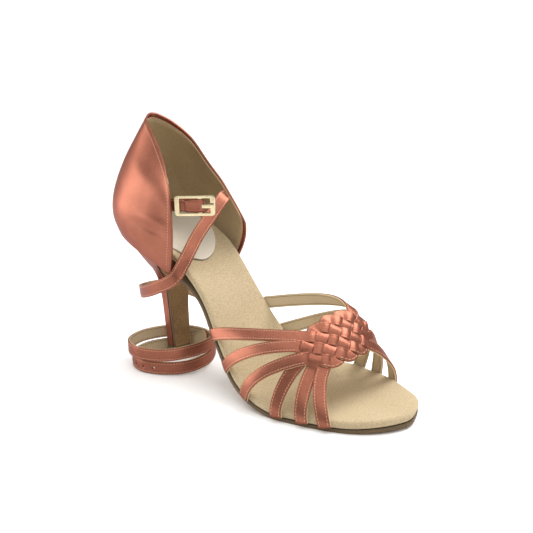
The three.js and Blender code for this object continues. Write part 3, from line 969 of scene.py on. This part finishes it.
@dataclass
class Heel:
    """Satin-covered flared heel and its top piece."""

    last: Last
    gap: float = 0.3
    tip_height: float = 6.3
    tip_rim: float = 0.5
    tip_soft: float = 0.12
    side_share: float = 0.8
    back_round: float = 0.85
    side_round: float = 0.8
    grid: tuple[int, int] = (64, 50)
    size: tuple[float, float] = (75.0, 60.0)
    tip_grid: tuple[int, int] = (16, 50)
    tip_girth: float = 34.0
    tip: tuple[float, float, float] = (38.8, 26.0, 6.2)
    seat_level: tuple[float, float, float] = (43.0, 0.6, 22.6)
    # Breast x and z, half width, back x and z, from the tip up
    levels: Table = (
        (35.9, 6.6, 5.8, 26.2, 6.6), (35.0, 20.0, 6.2, 25.4, 20.0), (34.4, 34.0, 6.8, 24.4, 34.0),
        (34.8, 45.0, 8.0, 22.6, 46.0), (36.2, 52.0, 10.6, 19.0, 54.5), (38.6, 58.0, 15.4, 13.0, 62.0),
        (41.4, 62.6, 19.6, 6.4, 70.5), (43.0, 65.6, 21.6, 2.2, 78.0),
    )

    def __post_init__(self) -> None:
        """Fit the curves of the levels, with the seat on top."""
        front, back, half = self.seat_level
        top = (front, self.last.feather(front) - self.gap, half, back, self.last.feather(back) - self.gap)
        rows = (*self.levels, top)
        keys = [float(i) for i in range(len(rows))]
        self.tracks = [Track(keys, [row[k] for row in rows]) for k in range(5)]

    def ring(self, front: float, back: float, half: float, k: float) -> tuple[float, float, float]:
        """Return x, y and the share towards the back at a place round a heel level.

        Args:
            front: breast x.
            back: back x.
            half: half width.
            k: place round the level, with the straight breast last.

        Returns:
            x, y and how far back the point is.
        """
        if k > self.side_share:
            return front, half * lerp(1, -1, (k - self.side_share) / (1 - self.side_share)), 0.0
        angle = math.pi * (k / self.side_share - 0.5)
        share = abs(math.cos(angle)) ** self.back_round
        wide = math.copysign(abs(math.sin(angle)) ** self.side_round, math.sin(angle))
        return front - (front - back) * share, half * wide, share

    def block(self, t: float, k: float) -> Vector:
        """Return a point of the heel's side at a height and a place round it.

        Args:
            t: place up the heel.
            k: place round it.

        Returns:
            The layout point.
        """
        front, low, half, back, high = (track(t * len(self.levels)) for track in self.tracks)
        x, y, share = self.ring(front, back, half, k)
        z = lerp(low, high, share)
        if t > 1 - TINY:
            z = self.last.feather(x) - self.gap
        return Vector((x, y, z))

    def tip_block(self, t: float, k: float) -> Vector:
        """Return a point of the top piece, with rounded rims.

        Args:
            t: place up the top piece.
            k: place round it.

        Returns:
            The layout point.
        """
        rim = self.tip_rim * (1 - ease(min(t, 1 - t) / self.tip_soft))
        front, back, half = self.tip
        x, y, _ = self.ring(front - rim, back + rim, half - rim, k)
        return Vector((x, y, self.tip_height * t))

    def build(self) -> None:
        """Build the heel block and its top piece."""
        bm = bmesh.new()
        drape(bm, *self.grid, self.block, self.size)
        close_tube(bm)
        add_piece("satin_heel", bm, [SATIN], Slot.SATIN, replaced="heel")
        bm = bmesh.new()
        drape(bm, *self.tip_grid, self.tip_block, (self.tip_height, self.tip_girth))
        close_tube(bm)
        add_piece("heel_top_piece", bm, [TIP_RUBBER], Slot.TIP, replaced="top_piece")


@dataclass
class Quarters:
    """Satin back of the shoe with its lining, folded edges and edge stitching."""

    last: Last
    front: float = 62.0
    thickness: float = 1.8
    satin_wall: float = 1.1
    lining_wall: float = 0.6
    stitch_inset: float = 2.4
    stitch_pitch: float = 1.8
    stitch_lift: float = -0.05
    thread: float = 0.22
    fold: float = 0.4
    fold_angle: float = 60.0
    flat_rim: tuple[float, float] = (0.05, 0.08)
    lining_ends: tuple[float, float] = (0.99, 0.02)
    lining_top: float = 0.975
    grid: tuple[int, int] = (150, 44)
    lining_grid: tuple[int, int] = (120, 32)
    corner: tuple[float, float] = (0.06, 0.16)
    size: tuple[float, float] = (165.0, 70.0)
    # Place round the heel, top edge x y z, pull of the bulge x y z
    rows: Table = (
        (-1.0, 64.6, -24.0, 113.7, 13.0, -6.5, 5.0),
        (-0.8, 55.0, -18.8, 123.2, 2.0, -14.0, -2.0),
        (-0.55, 39.5, -12.0, 135.5, -9.0, -19.0, -8.0),
        (-0.25, 23.5, -5.2, 145.2, -22.0, -12.0, -16.0),
        (0.0, 15.5, 4.5, 147.6, -25.5, -1.0, -18.0),
        (0.25, 20.5, 10.0, 144.4, -22.0, 12.0, -16.0),
        (0.5, 32.0, 17.0, 134.0, -12.0, 16.0, -8.0),
        (0.7, 42.0, 22.5, 118.0, -4.0, 12.0, -3.0),
        (0.85, 53.0, 25.8, 104.0, 1.0, 7.0, 0.0),
        (1.0, 69.0, 26.0, 86.0, 6.0, 2.5, 2.0),
    )
    # Soft creases: place round and up the wall, lean in degrees, half length, half width and height
    creases: Table = (
        (0.055, 0.48, -10.0, 9.0, 2.8, 0.7), (0.065, 0.37, -8.0, 10.0, 2.8, -0.9),
        (0.17, 0.76, 0.0, 26.0, 6.0, 0.8), (0.3, 0.12, 20.0, 14.0, 3.5, -0.4),
        (0.7, 0.5, 110.0, 14.0, 4.0, 0.5),
    )

    def __post_init__(self) -> None:
        """Fit the curves of the top edge and of the bulge."""
        self.top = PointTrack(self.rows, 1)
        self.pull = PointTrack(self.rows, 4)

    def wall(self, u: float, t: float) -> Vector:
        """Return a point of the smooth inner face of the wall, round the heel and up.

        Args:
            u: place round the heel, from the outer front to the inner front.
            t: place up the wall.

        Returns:
            The layout point.
        """
        s = 2 * u - 1
        x = self.front * s * s
        side = 1 if s >= 0 else -1
        foot = Vector((x, side * self.last.half(side, x) if x > 0 else 0.0, self.last.feather(x)))
        top = self.top(s)
        pull = (foot + top) / 2 + self.pull(s)
        return bezier(t, foot, pull, top)

    def crease(self, u: float, t: float) -> float:
        """Return the height of the creases at a place of the wall.

        Args:
            u: place round the heel, from the outer front to the inner front.
            t: place up the wall.

        Returns:
            The height over the smooth wall.
        """
        height = 0.0
        for at, up, lean, length, width, rise in self.creases:
            dx, dy = (u - at) * self.size[0], (t - up) * self.size[1]
            turn = math.radians(lean)
            along = dx * math.cos(turn) + dy * math.sin(turn)
            aside = dy * math.cos(turn) - dx * math.sin(turn)
            height += rise * math.exp(-((along / length) ** 2) - (aside / width) ** 2)
        return height

    def rounded(self, u: float, t: float) -> tuple[float, float]:
        """Return a wall place with both top corners rounded off.

        Args:
            u: place round the heel, from the outer front to the inner front.
            t: place up the wall.

        Returns:
            The moved place.
        """
        wide, tall = self.corner
        near = min(u, 1 - u)
        a, b = (wide - near) / wide, (t - 1 + tall) / tall
        if a <= 0 or b <= 0:
            return u, t
        near = wide * (1 - a * math.sqrt(1 - b * b / 2))
        t = 1 - tall + tall * b * math.sqrt(1 - a * a / 2)
        return near if u < 0.5 else 1 - near, t

    def face(self, depth: float) -> Surface:
        """Return the wall's surface at a depth under its outer face.

        Args:
            depth: distance under the outer face.

        Returns:
            The surface.
        """

        def place(u: float, t: float) -> Vector:
            """Return a point of that surface.

            Args:
                u: place round the heel, from the outer front to the inner front.
                t: place up the wall.

            Returns:
                The layout point.
            """
            u, t = self.rounded(u, t)
            edge = ease(min(u, 1 - u) / self.flat_rim[0]) * ease((1 - t) / self.flat_rim[1])
            inward = surface_normal(self.wall, u, t)
            return self.wall(u, t) + inward * (depth - self.thickness - self.crease(u, t) * edge)

        return place

    def edge_line(self, inset: float) -> list[tuple[float, float]]:
        """Return wall places beside the free edges: up the outer front, along the top, down the inner front.

        Args:
            inset: distance from the edge.

        Returns:
            Pairs of places round and up the wall.
        """
        wall = self.wall
        low, high, step = 0.06, 0.8, 0.02
        front_count, top_count = 30, 120
        near, far = (inset * step / (wall(u, high) - wall(abs(u - step), high)).length for u in (0.0, 1.0))
        rise, fall = (1 - inset * (1 - high) / (wall(u, 1) - wall(u, high)).length for u in (0.0, 1.0))
        line = [(near, lerp(low, rise, k / front_count)) for k in range(front_count)]
        for k in range(top_count + 1):
            u = lerp(near, 1 - far, k / top_count)
            line.append((u, 1 - inset * 0.1 / (wall(u, 1) - wall(u, 0.9)).length))
        return line + [(1 - far, lerp(fall, low, (k + 1) / front_count)) for k in range(front_count)]

    def build(self) -> None:
        """Build the satin wall, its lining and the edge stitching on both sides."""
        bm = bmesh.new()
        outer = self.face(0.0)
        drape(bm, *self.grid, lambda p, q: outer(1 - p, q), self.size)
        piece = add_piece("satin_quarters", bm, [SATIN], Slot.SATIN, replaced="quarters")
        thicken(piece, self.satin_wall)
        fold = piece.modifiers.new("folded_edge", "BEVEL")
        fold.width = self.fold * MM
        fold.segments = 2
        fold.limit_method = "ANGLE"
        fold.angle_limit = math.radians(self.fold_angle)
        inner = self.face(self.satin_wall)
        bm = bmesh.new()

        def lining_place(p: float, q: float) -> Vector:
            """Return a lining point, a little inside the wall's free edges."""
            return inner(lerp(*self.lining_ends, p), self.lining_top * q)

        drape(bm, *self.lining_grid, lining_place, self.size)
        # The heel lining's darker tones are painted shade for the inside of the heel cup.
        piece = add_piece("quarter_lining", bm, [HEEL_LINING_SHADED, CUT_EDGE], Slot.SATIN)
        thicken(piece, self.lining_wall, 1)
        bm = bmesh.new()
        line = self.edge_line(self.stitch_inset)
        for depth, sign in ((0.0, -1), (self.satin_wall + self.lining_wall, 1)):
            face = self.face(depth)
            points = [face(u, t) for u, t in line]
            normals = [surface_normal(self.wall, u, t) * sign for u, t in line]
            across = [n.cross(tangent).normalized() for n, tangent in zip(normals, directions(points))]
            strip = Strip(points, across, self.stitch_pitch / 3)
            seam = Seam(strip, 1.0, strip.length - 1.0)
            lay_thread(bm, seam, 0.0, self.stitch_lift, self.stitch_pitch, self.thread)
        add_piece("quarter_stitching", bm, [THREAD], Slot.SATIN)


@dataclass
class Vamp:
    """Six lined satin straps, plaited over the toes and fixed along both edges of the sole."""

    last: Last
    strap: Strap = Strap(width=7.2)
    cells: int = 5
    lanes: int = 3
    lobe: float = 0.16
    lobe_seam: float = 6.0
    weave: float = 1.0
    arch: float = 0.7
    arch_way: tuple[float, float, float] = (0.45, 0.0, 0.9)
    corner: float = 0.54
    leg_spread: float = 2.5
    leg_seat: float = 0.6
    leg_reach: float = 1.4
    taut: float = 0.6
    straight_steps: int = 30
    bend_steps: int = 10
    leg_steps: int = 40
    step: float = 0.7
    edge_fade: float = 0.4
    overlap: float = 0.015
    # Place across the foot, back edge x y z, front edge x y z
    edges: Table = (
        (0.0, 157.3, -24.4, 41.0, 175.5, -21.3, 21.7),
        (0.25, 160.0, -11.0, 44.0, 179.5, -14.0, 28.0),
        (0.5, 161.0, 0.0, 48.5, 182.5, -2.0, 29.5),
        (0.75, 162.5, 11.0, 49.0, 180.5, 10.0, 30.5),
        (1.0, 168.0, 21.5, 44.5, 175.0, 21.0, 32.5),
    )
    # Sole station, arch of the leg (0 for a taut one) and lead out of the plait, outer then inner side
    outer_legs: Table = (
        (99, 5, -22, -8, -2.0), (115, 13, -18, -9, -1.5), (136, 13, -13, -11, -4.0),
        (161, 7, -5, -8, -7.0), (177, 6, 0, -8, -7.0), (190, 6, 2, -8, -6.0),
    )
    inner_legs: Table = (
        (91, 0, -8, 8, 8.5), (106, 0, -8, 8, 5.0), (124, 12, -12, 10, -3.0),
        (146, 12, -5, 9, -6.0), (158, 11, -1, 9, -6.0), (172, 10, 4, 9, -5.0),
    )
    # Lattice places where a strap enters the plait, turns at an edge and leaves, then its two legs
    runs: Table = (
        (0.45, -0.05, 3.5, 3.0, 4.85, 1.65, 0, 2), (0.1, 0.6, 2.5, 3.0, 4.9, 0.6, 1, 1),
        (0.0, 1.5, 1.5, 3.0, 4.45, 0.05, 2, 0), (0.0, 1.5, 1.5, 0.0, 4.45, 2.95, 3, 5),
        (0.15, 2.35, 2.5, 0.0, 4.9, 2.4, 4, 4), (0.6, 2.9, 3.5, 0.0, 4.9, 1.4, 5, 3),
    )

    def __post_init__(self) -> None:
        """Fit the curves of the plait's edges."""
        self.back = PointTrack(self.edges, 1)
        self.front = PointTrack(self.edges, 4)

    def sheet(self, u: float, v: float) -> Vector:
        """Return a point of the arched sheet that the plait follows."""
        arch = Vector(self.arch_way) * (4 * self.arch * v * (1 - v))
        return self.back(u).lerp(self.front(u), lerp(-self.overlap, 1 + self.overlap, v)) + arch

    def lattice(self, a: float, b: float) -> tuple[float, float]:
        """Return the sheet place of a lattice place."""
        return clamp(a / self.cells), clamp((b + self.lobe) / (self.lanes + 2 * self.lobe))

    def plait_run(self, row: Sequence[float]) -> tuple[list[Vector], list[Vector]]:
        """Return the middle line of a strap inside the plait and the sheet's normals along it.

        Args:
            row: one row of the runs table.

        Returns:
            Points, raised over and sunk under the straps that are crossed, and normals.
        """
        start, turn, end = (Vector((row[k], row[k + 1])) for k in (0, 2, 4))
        into, away = (start - turn).normalized(), (end - turn).normalized()
        first, second = turn + into * self.corner, turn + away * self.corner
        count, bends = self.straight_steps, self.bend_steps
        places = [start.lerp(first, k / count) for k in range(count)]
        places += [bezier(k / bends, first, turn, second) for k in range(bends)]
        places += [second.lerp(end, k / count) for k in range(count + 1)]
        goes_front = turn.y > 1
        points, normals = [], []
        for k, (a, b) in enumerate(places):
            u, v = self.lattice(a, b)
            normal = -surface_normal(self.sheet, u, v)
            lengthwise = (k < count + bends / 2) == goes_front
            over = math.cos(2 * math.pi * a) * (1 if lengthwise else -1)
            fade = ease(min(b, self.lanes - b) / self.edge_fade)
            points.append(self.sheet(u, v) + normal * (self.weave * over * fade))
            normals.append(normal)
        return points, normals

    def leg(self, start: Vector, side: int, row: Sequence[float]) -> tuple[list[Vector], Vector]:
        """Return a leg from the plait to the sole.

        Args:
            start: point where the leg leaves the plait.
            side: outer (-1) or inner (1) side of the foot.
            row: one row of the leg tables.

        Returns:
            Points of the leg, and the direction of its width at the sole.
        """
        x, rise, *lead = row
        edge = side * (self.last.half(side, x) - self.last.insole_inset + self.leg_reach)
        upright = self.last.normal(x)
        foot = Vector((x, edge, self.last.feather(x))) + upright * self.leg_seat
        led = start + Vector(lead)
        shoulder = foot.lerp(led, self.taut)
        if rise:
            shoulder = foot + upright * rise + Vector((0, side * self.leg_spread, 0))
        count = self.leg_steps
        points = [bezier(k / count, start, led, shoulder, foot) for k in range(1, count + 1)]
        widening = self.last.half(side, x + 1) - self.last.half(side, x - 1)
        falling = self.last.feather(x + 1) - self.last.feather(x - 1)
        return points, -Vector((2, side * widening, falling)).normalized()

    def strip(self, row: Sequence[float]) -> Strip:
        """Return one strap from its outer foot through the plait to its inner foot.

        Args:
            row: one row of the runs table.

        Returns:
            The strap's line.
        """
        middle, normals = self.plait_run(row)
        near, near_wide = self.leg(middle[0], -1, self.outer_legs[int(row[6])])
        far, far_wide = self.leg(middle[-1], 1, self.inner_legs[int(row[7])])
        points = [*reversed(near), *middle, *far]
        last = len(points) - 1
        tangents = directions(points)
        across = []
        for k in range(len(points)):
            i = min(max(k - len(near), 0), len(middle) - 1)
            wide = normals[i].cross(tangents[len(near) + i]).normalized()
            if k < len(near):
                wide = near_wide.lerp(wide, ease(k / len(near)))
            if k > last - len(far):
                wide = wide.lerp(far_wide, ease((k - last + len(far)) / len(far)))
            across.append(wide)
        for _ in range(3):
            points, across = relaxed(points), relaxed(across)
        return Strip(points, across, self.step)

    def build(self) -> None:
        """Build the six straps, their linings and their stitches."""
        seams, lobes = [], []
        for row in self.runs:
            strip = self.strip(row)
            near, turn, far = self.seams(strip, row)
            seams += [Seam(strip, 1.0, near), Seam(strip, far, strip.length - 1.0)]
            side = -1 if row[3] > 1 else 1
            lobes.append(Seam(strip, turn - self.lobe_seam, turn + self.lobe_seam, (side,)))
        self.strap.build("vamp_straps", "vamp", "vamp", seams, lobes)

    def seams(self, strip: Strip, row: Sequence[float]) -> tuple[float, float, float]:
        """Return the distances along a strap where it enters the plait, turns at its edge and leaves it.

        Args:
            strip: the strap's line.
            row: its row of the runs table.

        Returns:
            The three distances.
        """
        places = []
        for k in (0, 2, 4):
            goal = self.sheet(*self.lattice(row[k], row[k + 1]))
            nearest = min(range(len(strip.centres)), key=lambda i: (strip.centres[i] - goal).length)
            places.append(nearest * strip.step)
        return tuple(places)


@dataclass
class AnkleStrap:
    """Long lined ankle strap: sewn to the inner quarter, crossed over the throat and wound round the heel."""

    quarters: Quarters
    strap: Strap = Strap(width=7.6)
    sewn: tuple[float, float, float] = (0.942, 0.97, 0.7)
    hole_pitch: float = 7.3
    hole_count: int = 7
    hole_start: float = 50.0
    tip: float = 5.0
    step: float = 0.9
    coil_centre: tuple[float, float] = (43.5, -12.0)
    # Run over the throat: point and direction of the width
    run: Table = (
        (61.0, 19.2, 99.6, -0.66, -0.4, 0.6), (63.8, 7.4, 91.8, -0.66, -0.5, 0.54),
        (67.0, -8.4, 80.4, -0.66, -0.5, 0.54), (71.2, -22.6, 68.2, -0.6, -0.4, 0.65),
        (70.5, -29.4, 60.4, -0.5, -0.2, 0.8), (56.0, -31.4, 53.0, -0.4, 0.0, 0.9),
        (34.0, -25.0, 45.5, -0.2, 0.0, 1.0), (18.0, -13.0, 41.6, -0.1, 0.0, 1.0),
        (14.0, 2.0, 40.0, 0.0, 0.0, 1.0), (24.0, 14.5, 38.0, 0.1, 0.0, 1.0),
        (40.0, 18.0, 33.6, 0.3, 0.0, 1.0), (55.0, 16.5, 25.0, 0.4, 0.0, 0.9),
    )
    # Turns round the heel: angle, radius, height
    coil: Table = (
        (42, 28.6, 18.4), (10, 27.6, 15.2), (-43, 26.8, 13.2), (-88, 26.4, 12.6), (-133, 26.3, 12.3),
        (-178, 26.2, 12.1), (-223, 26.0, 12.0), (-268, 25.8, 11.4), (-305, 25.4, 9.2), (-340, 25.0, 6.0),
        (-375, 24.7, 4.4), (-403, 24.5, 4.2), (-448, 24.3, 4.2), (-493, 24.2, 4.2), (-538, 24.0, 4.2),
        (-575, 23.7, 4.6), (-605, 23.6, 6.6), (-630, 22.8, 10.4), (-650, 22.2, 13.6),
    )

    def strip(self) -> Strip:
        """Return the strap's line from its sewn end to its tip.

        Returns:
            The strap's line.
        """
        wall = self.quarters.wall
        around, up, clear = self.sewn
        points = [wall(around, up) + surface_normal(wall, around, up) * clear]
        across = [(wall(around - 0.01, up) - wall(around + 0.01, up)).normalized()]
        for x, y, z, *wide in self.run:
            points.append(Vector((x, y, z)))
            across.append(Vector(wide))
        for angle, radius, z in self.coil:
            turn = math.radians(angle)
            x, y = self.coil_centre
            points.append(Vector((x + radius * math.cos(turn), y + radius * math.sin(turn), z)))
            across.append(Vector((0, 0, 1)))
        steps = 12
        dense = through_points(points, steps)
        wides = []
        for k in range(len(dense)):
            i = min(k // steps, len(across) - 2)
            wides.append(-across[i].lerp(across[i + 1], clamp(k / steps - i)))
        return Strip(dense, wides, self.step)

    def build(self) -> float:
        """Build the strap with its punched holes, lining and stitches.

        Returns:
            The strap's length in millimetres.
        """
        strip = self.strip()
        first = strip.length - self.hole_start
        holes = [first - k * self.hole_pitch for k in range(self.hole_count)]
        seam = Seam(strip, 1.0, strip.length - self.tip)
        self.strap.build("ankle_strap_satin", "ankle_strap", "ankle_strap", [seam], (), self.tip, holes)
        return strip.length


@dataclass
class Buckle:
    """Gilt frame and prong on a folded satin tab."""

    place: tuple[float, float, float] = (80.8, -16.0, 102.0)
    turn: float = 40.0
    strap: Strap = Strap(width=7.4, face=0.7, lining=0.5, thread=0.24)
    eye: float = 1.55
    tab_middle: float = 0.65
    frame_rounding: float = 0.72
    prong_rounding: float = 0.35
    sharp: float = 60.0
    bend_count: int = 13
    bend_angle: float = 14.0
    step: float = 0.4
    # Distance from the bar and height over the tab's lower and upper level
    tab_run: Table = ((-24.0, -5.9), (-17.5, -1.4), (-13.5, 0.0), (-6.0, 0.0), (-0.5, 0.0))
    tab_end: Table = ((-4.0, -0.5), (-8.5, -1.6))

    def set_in(self, point: Vector) -> Vector:
        """Return a point of the buckle's own layout in the shoe's layout.

        Args:
            point: along the tab, up and out of the buckle's face.

        Returns:
            The layout point.
        """
        turn = math.radians(self.turn)
        along = Vector((math.cos(turn), math.sin(turn), 0))
        face = Vector((math.sin(turn), -math.cos(turn), 0))
        return Vector(self.place) + along * point.x + Vector((0, 0, point.y)) + face * point.z

    @staticmethod
    def softened(node: str, width: float, segments: int) -> BMesh:
        """Return a copy of a CAD node with polished, rounded edges.

        Args:
            node: CAD node.
            width: width of the rounding in millimetres.
            segments: faces across it.

        Returns:
            The new mesh.
        """
        weld, flat, corner = 1e-5, math.radians(1), math.radians(45)
        bm = bmesh.new()
        bm.from_mesh(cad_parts[node].data)
        bmesh.ops.remove_doubles(bm, verts=bm.verts, dist=weld)
        bmesh.ops.dissolve_limit(bm, angle_limit=flat, verts=bm.verts, edges=bm.edges)
        edges = [edge for edge in bm.edges if edge.is_manifold and edge.calc_face_angle() > corner]
        bmesh.ops.bevel(
            bm, geom=edges, offset=width * MM, offset_type="OFFSET", affect="EDGES", segments=segments,
            profile=0.5, material=-1, clamp_overlap=True,
        )
        return bm

    def tab_strip(self) -> Strip:
        """Return the tab's line from inside the quarter, round the middle bar and back over it.

        Returns:
            The tab's line.
        """
        level = self.eye + self.tab_middle
        points = [Vector((x, 0, z - level)) for x, z in self.tab_run]
        for k in range(1, self.bend_count + 1):
            angle = math.radians(k * self.bend_angle - 90)
            points.append(Vector((level * math.cos(angle), 0, level * math.sin(angle))))
        points += [Vector((x, 0, z + level)) for x, z in self.tab_end]
        dense = [self.set_in(point) for point in through_points(points, 5)]
        return Strip(dense, [Vector((0, 0, 1))] * len(dense), self.step)

    def build_tab(self) -> None:
        """Build the satin tab that holds the buckle."""
        strip = self.tab_strip()
        bm = bmesh.new()
        self.strap.lay_band(bm, strip, 0.0, (), False)
        piece = add_piece("buckle_tab_satin", bm, [SATIN], Slot.SATIN, replaced="buckle_tab", sharp=SOFT_EDGE)
        thicken(piece, self.strap.face + self.strap.lining)
        self.strap.sew("buckle_tab_stitching", THREAD, [Seam(strip, 1.0, strip.length - 1.0)])

    def build(self) -> None:
        """Build the tab, the frame and the prong."""
        self.build_tab()
        bm = self.softened("buckle_frame", self.frame_rounding, 5)
        add_piece("gilt_buckle_frame", bm, [GILT], Slot.METAL, Body.FRAME, "buckle_frame", self.sharp)
        bm = self.softened("buckle_prong", self.prong_rounding, 3)
        add_piece("gilt_buckle_prong", bm, [GILT], Slot.METAL, Body.PRONG, "buckle_prong", self.sharp)


@dataclass
class Studio:
    """White floor, soft lights and the camera."""

    azimuth: float = 47.0
    elevation: float = 14.0
    roll: float = 2.0
    distance: float = 628.0
    lens: float = 76.14
    target: tuple[float, float, float] = (116.6, 0.0, 69.1)
    floor_radius: float = 60.0
    sky_power: float = 2.6
    sky_angle: float = 90.0
    world_power: float = 0.4
    light_aim: tuple[float, float, float] = (0.0, 0.0, 0.06)
    # Soft lights in metres and watts: place x y z, side, power
    lights: Table = ((-0.89, -0.44, 0.24, 0.6, 6.5), (0.85, -0.3, 0.3, 0.5, 1.6), (0.1, 0.6, 0.85, 0.6, 9.0))

    def build_camera(self) -> None:
        """Set the camera where the photograph was taken from."""
        az, el, roll = (math.radians(a) for a in (self.azimuth, self.elevation, self.roll))
        back = Vector((math.sin(az) * math.cos(el), -math.cos(az) * math.cos(el), math.sin(el)))
        right = Vector((math.cos(az), math.sin(az), 0))
        up = back.cross(right)
        axis_x = right * math.cos(roll) - up * math.sin(roll)
        axis_y = right * math.sin(roll) + up * math.cos(roll)
        data = bpy.data.cameras.new("camera")
        data.lens = self.lens
        data.sensor_width = 36.0
        data.clip_start = 0.01
        camera = bpy.data.objects.new("camera", data)
        turn = Matrix((axis_x, axis_y, back)).transposed().to_4x4()
        camera.matrix_world = Matrix.Translation(seat(Vector(self.target) + back * self.distance)) @ turn
        bpy.context.scene.collection.objects.link(camera)
        bpy.context.scene.camera = camera

    def build_lights(self) -> None:
        """Add the square soft lights, which face the shoe, and the even light from above."""
        for *place, size, power in self.lights:
            data = bpy.data.lights.new("soft_light", "AREA")
            data.size = size
            data.energy = power
            light = bpy.data.objects.new("soft_light", data)
            light.location = place
            aim = Vector(self.light_aim) - Vector(place)
            light.rotation_euler = aim.to_track_quat("-Z", "Y").to_euler()
            bpy.context.scene.collection.objects.link(light)
        sky = bpy.data.lights.new("sky", "SUN")
        sky.energy = self.sky_power
        sky.angle = math.radians(self.sky_angle)
        bpy.context.scene.collection.objects.link(bpy.data.objects.new("sky", sky))
        world = bpy.data.worlds.new("studio")
        world.use_nodes = True
        glow = world.node_tree.nodes["Background"].inputs
        glow["Color"].default_value = linear("#ffffff")
        glow["Strength"].default_value = self.world_power
        bpy.context.scene.world = world
        bpy.context.scene.view_settings.view_transform = "Standard"

    def build(self) -> None:
        """Build the floor, the lights and the camera."""
        bm = bmesh.new()
        bmesh.ops.create_circle(bm, cap_ends=True, segments=96, radius=self.floor_radius)
        mesh = bpy.data.meshes.new("floor")
        bm.to_mesh(mesh)
        bm.free()
        mesh.materials.append(PAPER.material())
        floor = bpy.data.objects.new("floor", mesh)
        bpy.context.scene.collection.objects.link(floor)
        self.build_lights()
        self.build_camera()


def main() -> None:
    """Build the studio and the shoe, piece by piece."""
    logging.basicConfig(level=logging.INFO, format="%(name)s %(message)s")
    Studio().build()
    last = Last()
    Sole(last).build()
    Heel(last).build()
    quarters = Quarters(last)
    quarters.build()
    Vamp(last).build()
    LOG.info("ankle strap length %.0f mm", AnkleStrap(quarters).build())
    Buckle().build()


if __name__ == "__main__":
    main()
